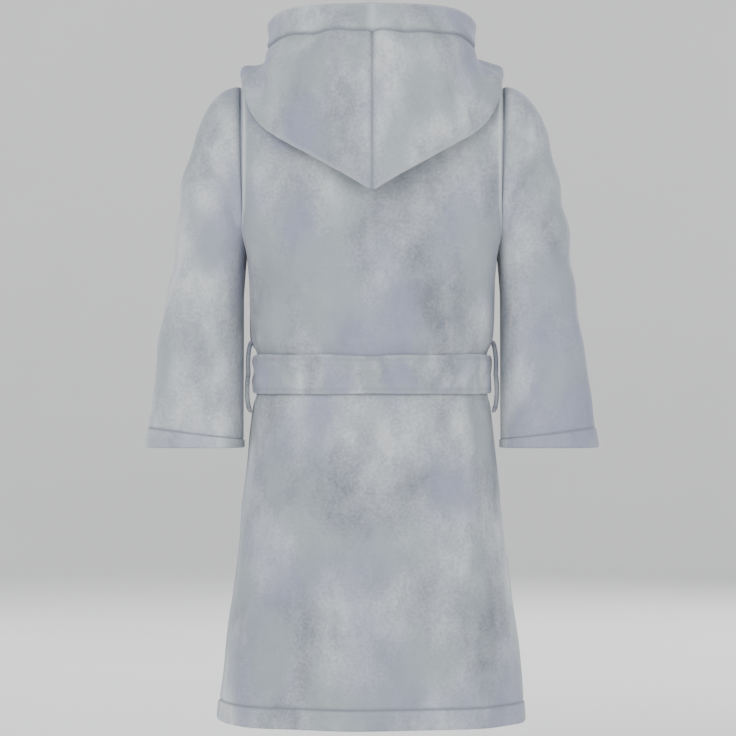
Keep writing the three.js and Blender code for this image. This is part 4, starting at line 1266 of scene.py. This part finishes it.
@dataclass
class Belt:
    """The tie belt: a run round the back, one over each front, a knot and two hanging tails."""

    form: RobeForm
    thickness: float = 5.0
    gap: float = 0.3
    sag: float = 0.8
    knot_across: float = -48.0
    knot_half: tuple[float, float, float] = (17.0, 15.0, 23.0)
    tail_length: float = 235.0
    tail_clearance: float = 16.5
    tail_neck: float = 11.0

    def levels(self) -> np.ndarray:
        """Rows across the width of the belt, from -1 to 1, closer together at its edges."""
        return np.sin(np.linspace(-math.pi / 2.0, math.pi / 2.0, 19))

    def plump(self, levels: np.ndarray) -> np.ndarray:
        """Thickness across the width: full in the middle and round at the folded edges."""
        return self.thickness * mix(0.24, 1.0, np.sqrt(np.clip(1.0 - np.abs(levels) ** 3, 0.0, 1.0)))

    def off(self) -> float:
        """Distance of the middle of the belt off the form."""
        return self.form.fleece / 2.0 + self.gap + self.thickness / 2.0

    def strip(self, name: str, share: np.ndarray, facing: np.ndarray, side: Side | None, seed: int) -> ClothLayer:
        """Lays a run of the belt round the form.

        Args:
            name: the piece's name.
            share: shares of the half width along the run.
            facing: 1 or -1 along the run.
            side: the front that it lies on, or None for the back.
            seed: number that sets its unevenness.

        Returns:
            The run as a layer of cloth.
        """
        form = self.form
        levels = self.levels()
        base = form.belt_height + form.belt_width / 2.0 * levels
        share = np.broadcast_to(share, (len(levels), share.size))
        height = base[:, None] + 0.0 * share
        out = self.off()
        if side is not None:
            out = out + self.sag * smooth((0.898 - share) / 0.12)
        back = form.off_skin(share, height, 1, out + 0.0 * share)
        front = form.off_skin(share, height, -1, out + 0.0 * share)
        grid = np.where((facing > 0)[None, :, None], back, front)
        grid[:, np.abs(share[0]) == 1.0, 1] = 0.0
        if side is not None:
            lap = form.lap(form.half_width(height) * share, np.zeros_like(share))
            grid[..., 1] = np.minimum(grid[..., 1] - side.value * lap, -HALF_SEAM)
            grid[..., 0] *= side.value
        near_loop = smooth((np.abs(grid[..., 0]) - 58.0) / 30.0)
        outward = unit(grid * np.array([1.0, 1.0, 0.0]))
        rucked = np.maximum(Lumps(60 + seed, 15.0, 42.0).at(grid), -0.3) + 0.3
        grid = grid + outward * (rucked * (0.35 + 0.75 * near_loop) * (1.0 - levels[:, None] ** 4))[..., None]
        length = run_along(grid, 1)
        sway = 0.9 * np.cos(length / 34.0 + seed) + 0.6 * np.cos(length / 13.0 + 2.0 * seed)
        grid[..., 2] += sway * (levels[:, None] * 0.7 + 0.3)
        pressed = 0.86 + 0.1 * np.cos(length / 21.0 + levels[:, None] * 1.4 + seed)
        thick = self.plump(levels)[:, None] * pressed
        thick = thick + 0.3 * Lumps(40 + seed, 16.0, 40.0).at(grid) * (1.0 - np.abs(levels[:, None]) ** 4)
        # Painted shade along the rows of stitches near both edges of the belt.
        crease = 0.55 * bump(np.abs(levels)[:, None] * form.belt_width / 2.0, form.belt_width / 2.0 - 4.0, 0.9)
        dip = 0.7 * bump(np.abs(levels)[:, None] * form.belt_width / 2.0, form.belt_width / 2.0 - 4.0, 1.2)
        return ClothLayer(name, grid, np.maximum(thick - dip, 1.0), seed, crease + 0.0 * length)

    def build_runs(self) -> dict[str, bpy.types.Object]:
        """Makes the run round the back and the run over each front."""
        form = self.form
        reach = 0.901
        front = along_oval(1.0, np.array([reach]), np.linspace(0.0, 1.0, 15))[0][1:]
        back = along_oval(1.0, np.array([-1.0]), np.linspace(0.0, 1.0, 121))[0]
        share = np.concatenate([front[::-1], back, -front])
        facing = np.concatenate([-np.ones(len(front)), np.ones(len(back)), -np.ones(len(front))])
        runs = {"belt_back_run": self.strip("belt_back_cloth", share, facing, None, 15).build(form)}
        for side in Side:
            end = self.knot_across * side.value + (self.knot_half[0] + self.gap)
            stop = end / form.waist_half_width
            span = along_oval(0.9008, np.array([stop]), np.linspace(0.0, 1.0, 60))[0]
            name = f"belt_{side.word}_run"
            layer = self.strip(f"belt_{side.word}_cloth", span, -np.ones(60), side, 17 + side.value)
            layer.keep_in_plane(slice(None), -1, (1.0, 0.0, 0.0))
            runs[name] = layer.build(form)
        return runs

    def build_knot(self) -> bpy.types.Object:
        """Makes the knot: a soft round of cloth with one turn of the belt wrapped slantwise over it."""
        form = self.form
        around = np.linspace(0.0, 2.0 * math.pi, 97)[:-1]
        down = np.linspace(0.02, math.pi - 0.02, 60)
        direction = points(
            np.sin(down)[:, None] * np.cos(around)[None],
            np.sin(down)[:, None] * np.sin(around)[None],
            np.cos(down)[:, None] + 0.0 * around[None],
        )
        half = np.array(self.knot_half)
        round_block = signed_power(direction, 0.8) * half
        slant = round_block @ np.array([0.86, 0.0, 0.51])
        inside = 1.0 - smooth((np.abs(slant) - 8.6) / 2.4)
        groove = bump(np.abs(slant), 10.6, 1.3)
        pleats = 0.35 * np.cos(slant * 1.25) * inside + 0.4 * np.cos(direction[..., 2] * 9.0) * (1.0 - inside)
        scale = 0.93 - 0.085 * (1.0 - inside) - 0.06 * groove + 0.02 * pleats
        share = np.array([self.knot_across / form.waist_half_width])
        face = form.skirt(share, np.array([form.belt_height]), -1)[0, 1] - form.lap_shift - form.fleece / 2.0
        middle = np.array([self.knot_across, face - half[1] - 1.5, form.belt_height])
        grid = middle + round_block * scale[..., None]
        rows, columns = grid.shape[:2]
        poles = np.array([grid[0].mean(axis=0), grid[-1].mean(axis=0)])
        index = np.arange(rows * columns).reshape(rows, columns)
        index = np.concatenate([index, index[:, :1]], axis=1)
        sides = np.stack([index[:-1, :-1], index[1:, :-1], index[1:, 1:], index[:-1, 1:]], axis=-1).reshape(-1, 4)
        top, low = rows * columns, rows * columns + 1
        caps = [[top, a, b] for a, b in zip(index[0, :-1], index[0, 1:])]
        caps += [[low, b, a] for a, b in zip(index[-1, :-1], index[-1, 1:])]
        places = np.concatenate([grid.reshape(-1, 3), poles])
        mesh_faces = [list(map(int, face)) for face in sides] + [list(map(int, face)) for face in caps]
        # Painted shade in the groove where the wrapped turn meets the round of the knot.
        crease = np.concatenate([(0.8 * groove).reshape(-1), [0.0, 0.0]])
        cloth = places + np.array([0.0, 0.0, 5200.0])
        return make_mesh("belt_knot_cloth", form.to_frame(places), np.array(mesh_faces, dtype=object), cloth, crease)

    def build_tail(self, name: str, across: float, off: float, raised: float, seed: int) -> bpy.types.Object:
        """Makes one tail, which hangs straight down from the knot in a plane beside the skirt.

        Args:
            name: the piece's name.
            across: where its middle lies.
            off: how far it hangs off the skirt.
            raised: how much higher than the foot of the knot it starts.
            seed: number that sets its unevenness.

        Returns:
            The tail.
        """
        form = self.form
        top = form.belt_height - self.knot_half[2] + 0.2
        place = self.knot_across - 17.0
        lean = float(form.half_depth(np.float64(top - self.tail_length)) - form.half_depth(np.float64(top)))
        lean = lean / self.tail_length
        wide = float(form.half_width(np.float64(top)))
        low, low_next = (form.skirt(np.float64(x / wide), np.float64(top), -1)[1] for x in (place, place - 1.0))
        tilt = low - low_next
        plumb = lean * tilt / (1.0 + tilt * tilt)
        neck = self.tail_neck
        start = np.array([0.0, 0.25, 0.7, 1.4, 2.4, 3.8, 5.5, 7.3, 9.2])
        end = self.tail_length - np.array([12.5, 11.2, 10.0, 8.8, 7.5, 4.0, 2.0, 0.8, 0.0])
        down = np.concatenate([start, spaced(neck, self.tail_length - 16.0, 3.4), end])[:, None]
        u = self.levels()[None, :]
        near = np.maximum(neck - down, 0.0) * 0.95
        pinched = np.sqrt(neck * neck - near * near)
        half = mix(pinched, form.belt_width / 2.0, smooth((down - neck) / form.belt_width))
        edge_wave = 1.0 + 0.02 * np.cos(down / 17.0 + seed)
        x = across + u * half * edge_wave + (down - neck) * plumb
        ripple = 0.9 * np.cos(down / 26.0) * smooth(down / 60.0) + 0.35 * np.cos(u * 4.0 + down / 33.0)
        y = low - form.lap_shift - off + (x - place) * tilt - down * lean - ripple * smooth((down - 20.0) / 40.0)
        grid = points(x, y, top + raised - down)
        hem = self.tail_length - down
        thick = self.plump(u) * edge_profile(down, 2.5, Edge.ROUNDED) * edge_profile(hem, 2.6, Edge.ROUNDED)
        thick = thick * mix(0.9, 1.08, 1.0 - smooth((hem - 9.0) / 2.0)) - 1.3 * bump(hem, 10.4, 1.3)
        side_seam = bump(np.abs(u) * half, half - 4.0, 1.0)
        # Painted shade along the hem's row of stitches and along the seams near both edges.
        crease = 0.6 * np.maximum(bump(hem, 10.4, 1.3) + 0.0 * u, side_seam * smooth((down - 20.0) / 20.0))
        layer = ClothLayer(name, grid, np.maximum(thick, 1.0), seed, crease)
        return layer.build(form)

    def build(self) -> dict[str, bpy.types.Object]:
        """Makes every piece of the belt, by the name of the frame's node that it stands for."""
        pieces = self.build_runs()
        pieces["belt_knot"] = self.build_knot()
        front = self.tail_clearance + self.thickness + 2.4
        across = self.knot_across
        pieces["belt_left_tail"] = self.build_tail("belt_left_tail_cloth", across + 4.0, front, 1.0, 22)
        pieces["belt_right_tail"] = self.build_tail(
            "belt_right_tail_cloth", across - 25.5, self.tail_clearance, 0.6, 23
        )
        return pieces

    def dress(self, pieces: dict[str, bpy.types.Object]) -> None:
        """Finishes the belt in fleece, parents the back run, knot and tails to empties for their bodies, and bakes
        the front runs.
        """
        # Painted light: the belt's fleece is drawn a little lighter.
        finish = PolyesterFleece(name="polyester_fleece_belt", patch=30.0, lift=0.15).material()
        width = self.form.belt_width / 1000.0
        lengths = {"belt_back_run": 0.43, "belt_left_run": 0.135, "belt_right_run": 0.05}
        for node, length in lengths.items():
            piece = pieces[node]
            if node == "belt_back_run":
                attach(piece, "robe")
            else:
                swing_with_front(self.form, piece, Side.LEFT if "left" in node else Side.RIGHT)
            cut = Cut(flat=(width, length), held="stretched", rests_on=("back_panel_cloth",))
            dress_piece(piece, finish, (node,), node, cut)
        knot = pieces["belt_knot"]
        knot.data.materials.append(finish)
        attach(knot, "left_front")
        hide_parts("belt_knot")
        for side in Side:
            node = f"belt_{side.word}_tail"
            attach(pieces[node], f"{side.word}_tail")
            cut = Cut(flat=(width, self.tail_length / 1000.0), held="hung", rests_on=("belt_knot_cloth",))
            dress_piece(pieces[node], finish, (node,), node, cut)


@dataclass
class BeltLoop:
    """A loop of folded fleece at a side seam, which carries the belt."""

    form: RobeForm
    side: Side
    height: float = 76.0
    width: float = 12.0
    thickness: float = 4.8

    def build(self) -> bpy.types.Object:
        """Bends the loop out round the belt."""
        form = self.form
        low = form.belt_height - 0.53 * self.height
        t = np.linspace(0.0, 1.0, 61)[:, None]
        height = low + t * self.height
        rest = form.fleece / 2.0 + 0.3 + self.thickness / 2.0
        bulge = rest + 8.6 * np.sin(math.pi * np.clip(t, 0.0, 1.0)) ** 0.5
        u = np.linspace(0.0, 1.0, 9)[None, :]
        depth = 2.0 + u * self.width
        share = oval(depth / form.half_depth(height), form.roundness_at(height))
        grid = form.off_skin(share, height + 0.0 * u, 1, bulge + 0.0 * u)
        grid[..., 0] *= self.side.value
        side = np.minimum(u, 1.0 - u) * self.width
        end = np.minimum(t, 1.0 - t) * self.height
        thickness = self.thickness * edge_profile(side, 4.0, Edge.ROUNDED) * edge_profile(end, 3.0, Edge.SEWN)
        # Painted shade along the stitching near the sewn ends and near both sides.
        crease = 0.7 * bump(end, 4.5, 1.2) + 0.25 * bump(side, 2.2, 0.8)
        layer = ClothLayer(f"{self.side.word}_belt_loop_cloth", grid, thickness, 25 + self.side.value, crease)
        return layer.build(form)

    def dress(self, piece: bpy.types.Object) -> None:
        """Finishes the loop in fleece and rides it on the robe."""
        word = self.side.word
        finish = PolyesterFleece(name=f"polyester_fleece_{word}_loop", patch=24.0).material()
        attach(piece, "robe")
        cut = Cut(flat=(self.width / 1000.0, 0.085), held="hung", rests_on=("back_panel_cloth",))
        node = f"{word}_belt_loop"
        dress_piece(piece, finish, (node,), node, cut)


@dataclass
class Pocket:
    """A patch pocket on one front, stitched round three sides, with its mouth standing a little open."""

    form: RobeForm
    side: Side
    across: float = 80.0
    low: float = 192.9
    width: float = 54.0
    height: float = 108.0
    room: float = 7.4
    mouth_hem: float = 16.0

    def build(self) -> bpy.types.Object:
        """Lays the pocket on the front, full in the middle and flat at its stitched edges."""
        form = self.form
        sign = self.side.value
        rows = [0.0, 0.008, 0.02, 0.04]
        v = np.concatenate([rows, np.linspace(0.06, 0.82, 30), [0.835, 0.845, 0.852, 0.86, 0.875, 0.9, 0.94, 0.975, 0.992, 1.0]])
        v = v[:, None]
        near = np.array([0.0, 0.012, 0.03, 0.055])
        u = np.concatenate([near, np.linspace(0.085, 0.915, 28), 1.0 - near[::-1]])[None, :]
        height = self.low + v * self.height + 0.0 * u
        across = self.across + (u - 0.5) * self.width + 0.0 * v
        from_side = np.minimum(u, 1.0 - u) * self.width
        from_low = v * self.height
        inward = np.minimum(from_side, from_low)
        full = smooth((inward - 2.0) / 16.0) * mix(0.55, 1.0, smooth(v * 1.3))
        share = sign * across / form.half_width(height)
        skin = form.draped(share, height, np.zeros_like(height), -1)
        plain = form.skirt(share, height, -1)
        off = form.fleece / 2.0 + 0.3 + 1.7 + self.room * full
        out = form.off_skin(share, height, -1, off)
        grid = out + (skin - plain)
        grid[..., 1] -= sign * form.lap(across, np.zeros_like(across))
        mouth = (1.0 - v) * self.height
        turned = 1.0 - smooth((mouth - self.mouth_hem) / 2.0)
        stitch = bump(mouth, self.mouth_hem + 1.2, 1.3)
        thickness = (mix(form.fleece, 5.4, turned) - 1.8 * stitch) * edge_profile(mouth, 2.4, Edge.ROUNDED)
        side_stitch = bump(inward, 4.6, 1.1)
        thickness = (thickness - 1.2 * side_stitch) * edge_profile(inward, 2.6, Edge.ROUNDED)
        thickness = np.minimum(thickness, mix(3.4, 5.4, smooth(inward / 9.0)))
        # Painted shade along the rows of stitches at the mouth and round the sides.
        crease = 0.65 * np.maximum(stitch, side_stitch)
        layer = ClothLayer(f"{self.side.word}_pocket_cloth", grid, np.maximum(thickness, 1.2), 28 + sign, crease)
        return layer.build(form)

    def dress(self, piece: bpy.types.Object) -> None:
        """Finishes the pocket in fleece and bakes its place into its mesh."""
        word = self.side.word
        finish = PolyesterFleece(name=f"polyester_fleece_{word}_pocket", patch=34.0).material()
        swing_with_front(self.form, piece, self.side)
        cut = Cut(flat=(0.068, 0.126), held="hung", rests_on=(f"{word}_front_cloth",))
        dress_piece(piece, finish, (f"{word}_pocket",), f"{word}_pocket", cut)


@dataclass
class NeckFinish:
    """What is sewn inside the back of the neck: a woven tape, a hanging loop and a blank label."""

    form: RobeForm
    tape_height: float = 11.0
    tape_thickness: float = 1.2
    loop_width: float = 44.0
    loop_tape: float = 6.0
    loop_thickness: float = 1.6
    label_half_width: float = 14.0
    label_drop: float = 22.0

    def tape_top(self) -> float:
        """Height of the upper edge of the tape."""
        return self.form.neck_height - self.form.back_neck_drop - 2.0

    def build_tape(self) -> bpy.types.Object:
        """Lays the tape over the neck seam."""
        form = self.form
        inward = 1.2
        turn = np.linspace(-0.95, 0.95, 64)[None, :]
        v = np.linspace(0.0, 1.0, 11)[:, None]
        grid = points(
            (form.neck_half_width - 3.0 - inward) * np.sin(turn),
            (form.back_neck_depth - form.fleece / 2.0 - inward) * np.cos(turn),
            self.tape_top() - self.tape_height * (1.0 - v),
        )
        edge = np.minimum(v, 1.0 - v) * self.tape_height
        thickness = self.tape_thickness * edge_profile(edge, 1.2, Edge.ROUNDED) + 0.0 * turn
        return ClothLayer("neck_tape_cloth", grid, thickness, 31, 0.6 * bump(edge, 1.6, 0.5) + 0.0 * turn, woven=True).build(form)

    def build_hanger(self) -> bpy.types.Object:
        """Bends the hanging loop: a flat tape arched over between its two sewn ends."""
        form = self.form
        half = self.loop_width / 2.0
        top = form.hanger_height + self.loop_thickness / 2.0
        foot = self.tape_top() - self.tape_height
        corner = 4.0
        turn = np.linspace(0.0, math.pi / 2.0, 9)
        right = np.stack([half - corner + corner * np.cos(turn), top - corner + corner * np.sin(turn)], axis=-1)
        rise = np.stack([np.full(10, half), np.linspace(foot, top - corner, 11)[:-1]], axis=-1)
        over = np.stack([np.linspace(half - corner, 0.0, 14)[1:], np.full(13, top)], axis=-1)
        start = np.concatenate([rise, right, over])
        line = np.concatenate([start, start[-2::-1] * np.array([-1.0, 1.0])])
        u = np.linspace(-0.5, 0.5, 9)[None, :]
        grid = points(line[:, :1], form.hanger_depth + u * self.loop_tape, line[:, 1:])
        edge = (0.5 - np.abs(u)) * self.loop_tape
        thickness = self.loop_thickness * edge_profile(edge, 1.0, Edge.ROUNDED)
        thickness = thickness + 0.0 * line[:, :1]
        return ClothLayer("hang_loop_cloth", grid, thickness, 32, 0.0, woven=True).build(form)

    def build_label(self) -> bpy.types.Object:
        """Hangs the blank label under the tape."""
        form = self.form
        u = np.linspace(-1.0, 1.0, 25)[None, :]
        v = np.linspace(0.0, 1.0, 21)[:, None]
        drop = self.label_drop * v
        curl = 0.5 * v**2 * np.cos(1.6 * u)
        y = form.back_neck_depth - form.fleece / 2.0 - 1.8 - curl
        grid = points(u * self.label_half_width, y + 0.0 * u, self.tape_top() - self.tape_height - 0.3 - drop)
        edge = np.minimum(1.0 - np.abs(u), 2.0 * np.minimum(v, 1.0 - v)) * self.label_half_width
        thickness = 0.8 * edge_profile(edge, 0.8, Edge.ROUNDED)
        return ClothLayer("neck_label_cloth", grid, thickness, 33, 0.0, woven=True).build(form)

    def build(self) -> dict[str, bpy.types.Object]:
        """Makes the three pieces, by the name of the frame's node that each stands for."""
        return {
            "neck_tape": self.build_tape(),
            "hang_loop": self.build_hanger(),
            "neck_label": self.build_label(),
        }

    def dress(self, pieces: dict[str, bpy.types.Object]) -> None:
        """Finishes the tapes in cotton and the label in satin, all on the robe."""
        tape = WovenCottonTape().material()
        satin = PolyesterSatin().material()
        cuts = {
            "neck_tape": (tape, Cut(flat=(0.106, 0.011), held="stretched", rests_on=("back_panel_cloth",))),
            "hang_loop": (tape, Cut(flat=(0.012, 0.088), held="hung", rests_on=("back_panel_cloth",), area=0.00053)),
            "neck_label": (satin, Cut(flat=(0.028, 0.022), held="hung", rests_on=("neck_tape_cloth",))),
        }
        for node, (finish, cut) in cuts.items():
            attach(pieces[node], "robe")
            dress_piece(pieces[node], finish, (node,), node, cut)


@dataclass
class CareLabel:
    """A blank satin label caught in the left side seam, inside the robe."""

    form: RobeForm
    low: float = 98.0
    height: float = 42.0
    near: float = 3.0
    far: float = 31.0

    def build(self) -> bpy.types.Object:
        """Lays the label against the inside of the back panel."""
        form = self.form
        inward = -(form.fleece / 2.0 + 1.2)
        v = np.linspace(0.0, 1.0, 29)[:, None]
        u = np.linspace(0.0, 1.0, 21)[None, :]
        height = self.low + self.height * v + 0.0 * u
        depth = mix(self.near, self.far, u) + 0.0 * v
        share = oval(depth / form.half_depth(height), form.roundness_at(height))
        lift = form.draped(share, height, np.zeros_like(height), 1) - form.skirt(share, height, 1)
        grid = form.off_skin(share, height, 1, inward - 0.6 * u + 0.0 * v) + lift
        edge = np.minimum(1.0 - u + 0.0 * v, np.minimum(v, 1.0 - v)) * self.height
        thickness = 0.8 * edge_profile(edge, 0.8, Edge.ROUNDED)
        return ClothLayer("care_label_cloth", grid, thickness, 34, 0.0, woven=True).build(form)

    def dress(self, piece: bpy.types.Object) -> None:
        """Finishes the label in satin and rides it on the robe."""
        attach(piece, "robe")
        finish = PolyesterSatin(name="polyester_satin_care_label").material()
        cut = Cut(flat=(0.030, 0.042), held="hung", rests_on=("back_panel_cloth",))
        dress_piece(piece, finish, ("care_label",), "care_label", cut)


# ---- Studio ----


@dataclass
class Studio:
    """A pale round studio with soft light from all sides, and the camera behind the robe."""

    form: RobeForm
    floor_below: float = 0.12  # metres from the hem down to the floor
    floor_radius: float = 4.2
    wall_radius: float = 5.4
    wall_height: float = 4.5
    distance: float = 3.3
    frame_width: float = 0.777  # metres that the view takes in at the middle of the robe
    aim_height: float = 370.6
    aim_across: float = 4.2

    def build_floor(self) -> None:
        """Makes the floor, which curves up all round into a low wall."""
        base = -self.form.hanger_height / 1000.0 - self.floor_below
        bend = self.wall_radius - self.floor_radius
        turn = np.linspace(0.0, math.pi / 2.0, 17)
        radius = np.concatenate([[0.02, 1.0, 2.0, 3.0], self.floor_radius + bend * np.sin(turn), [self.wall_radius]])
        height = np.concatenate([np.zeros(4), bend * (1.0 - np.cos(turn)), [self.wall_height]]) + base
        around = np.linspace(0.0, 2.0 * math.pi, 97)[None, :-1]
        grid = points(radius[:, None] * np.cos(around), radius[:, None] * np.sin(around), height[:, None])
        rows, columns = grid.shape[:2]
        index = np.arange(rows * columns).reshape(rows, columns)
        index = np.concatenate([index, index[:, :1]], axis=1)
        faces = np.stack([index[:-1, :-1], index[1:, :-1], index[1:, 1:], index[:-1, 1:]], axis=-1).reshape(-1, 4)
        mesh_faces = faces.tolist() + [index[0, :-1].tolist()]
        mesh = bpy.data.meshes.new("studio_floor")
        mesh.from_pydata(grid.reshape(-1, 3).tolist(), [], mesh_faces)
        mesh.shade_smooth()
        floor = bpy.data.objects.new("studio_floor", mesh)
        floor.data.materials.append(MattPaint().material())
        bpy.context.scene.collection.objects.link(floor)

    def add_softbox(self, name: str, place: tuple[float, float, float], size: float, power: float) -> None:
        """Adds one large soft lamp that faces the middle of the robe.

        Args:
            name: the lamp's name.
            place: where it stands, in metres from the middle of the robe.
            size: its side.
            power: its strength in watts.
        """
        lamp = bpy.data.lights.new(name, "AREA")
        lamp.shape = "SQUARE"
        lamp.size = size
        lamp.energy = power
        holder = bpy.data.objects.new(name, lamp)
        middle = np.array([0.0, 0.0, (self.aim_height - self.form.hanger_height) / 1000.0])
        at = middle + np.array(place)
        holder.location = at
        away = unit(at - middle)
        pitch = math.acos(float(np.clip(away[2], -1.0, 1.0)))
        holder.rotation_euler = (pitch, 0.0, math.atan2(away[1], away[0]) + math.pi / 2.0)
        bpy.context.scene.collection.objects.link(holder)

    def build_camera(self) -> None:
        """Sets the camera level behind the robe."""
        sensor = 36.0
        lens = bpy.data.cameras.new("camera")
        lens.sensor_width = sensor
        lens.lens = sensor * self.distance / self.frame_width
        camera = bpy.data.objects.new("camera", lens)
        aim = self.form.to_frame(np.array([self.aim_across, 0.0, self.aim_height]))
        camera.location = (aim[0], aim[1] + self.distance, aim[2])
        camera.rotation_euler = (math.pi / 2.0, 0.0, math.pi)
        bpy.context.scene.collection.objects.link(camera)
        bpy.context.scene.camera = camera

    def build(self) -> None:
        """Makes the floor, the lamps, the soft sky and the camera."""
        self.build_floor()
        self.add_softbox("key_lamp", (1.3, 2.7, 1.5), 2.0, 70.0)
        self.add_softbox("fill_lamp", (-2.2, 2.2, 0.7), 2.2, 34.0)
        self.add_softbox("front_key_lamp", (-1.3, -2.7, 1.5), 2.0, 60.0)
        self.add_softbox("front_fill_lamp", (2.2, -2.2, 0.7), 2.2, 34.0)
        world = bpy.data.worlds.new("soft_sky")
        world.use_nodes = True
        sky = world.node_tree.nodes["Background"]
        sky.inputs["Color"].default_value = linear("#F4F6FA")
        sky.inputs["Strength"].default_value = 0.75
        bpy.context.scene.world = world
        self.build_camera()


def main() -> None:
    """Builds and dresses the robe piece by piece."""
    logging.basicConfig(level=logging.INFO, format="%(name)s: %(message)s")
    form = RobeForm()
    Studio(form).build()
    parts: list = [
        BackPanel(form),
        FrontPanel(form, Side.LEFT, reach=50.0),
        FrontPanel(form, Side.RIGHT, reach=35.0),
        # The sleeves' lift paints their fleece lighter, standing for brighter light on them.
        Sleeve(form, Side.LEFT, lift=0.95),
        Sleeve(form, Side.RIGHT, lift=0.8),
        Hood(form),
        Belt(form),
        BeltLoop(form, Side.LEFT),
        BeltLoop(form, Side.RIGHT),
        Pocket(form, Side.LEFT),
        Pocket(form, Side.RIGHT),
        NeckFinish(form),
        CareLabel(form),
    ]
    for part in parts:
        part.dress(part.build())
        log.info("made %s", type(part).__name__)
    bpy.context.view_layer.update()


if __name__ == "__main__":
    main()
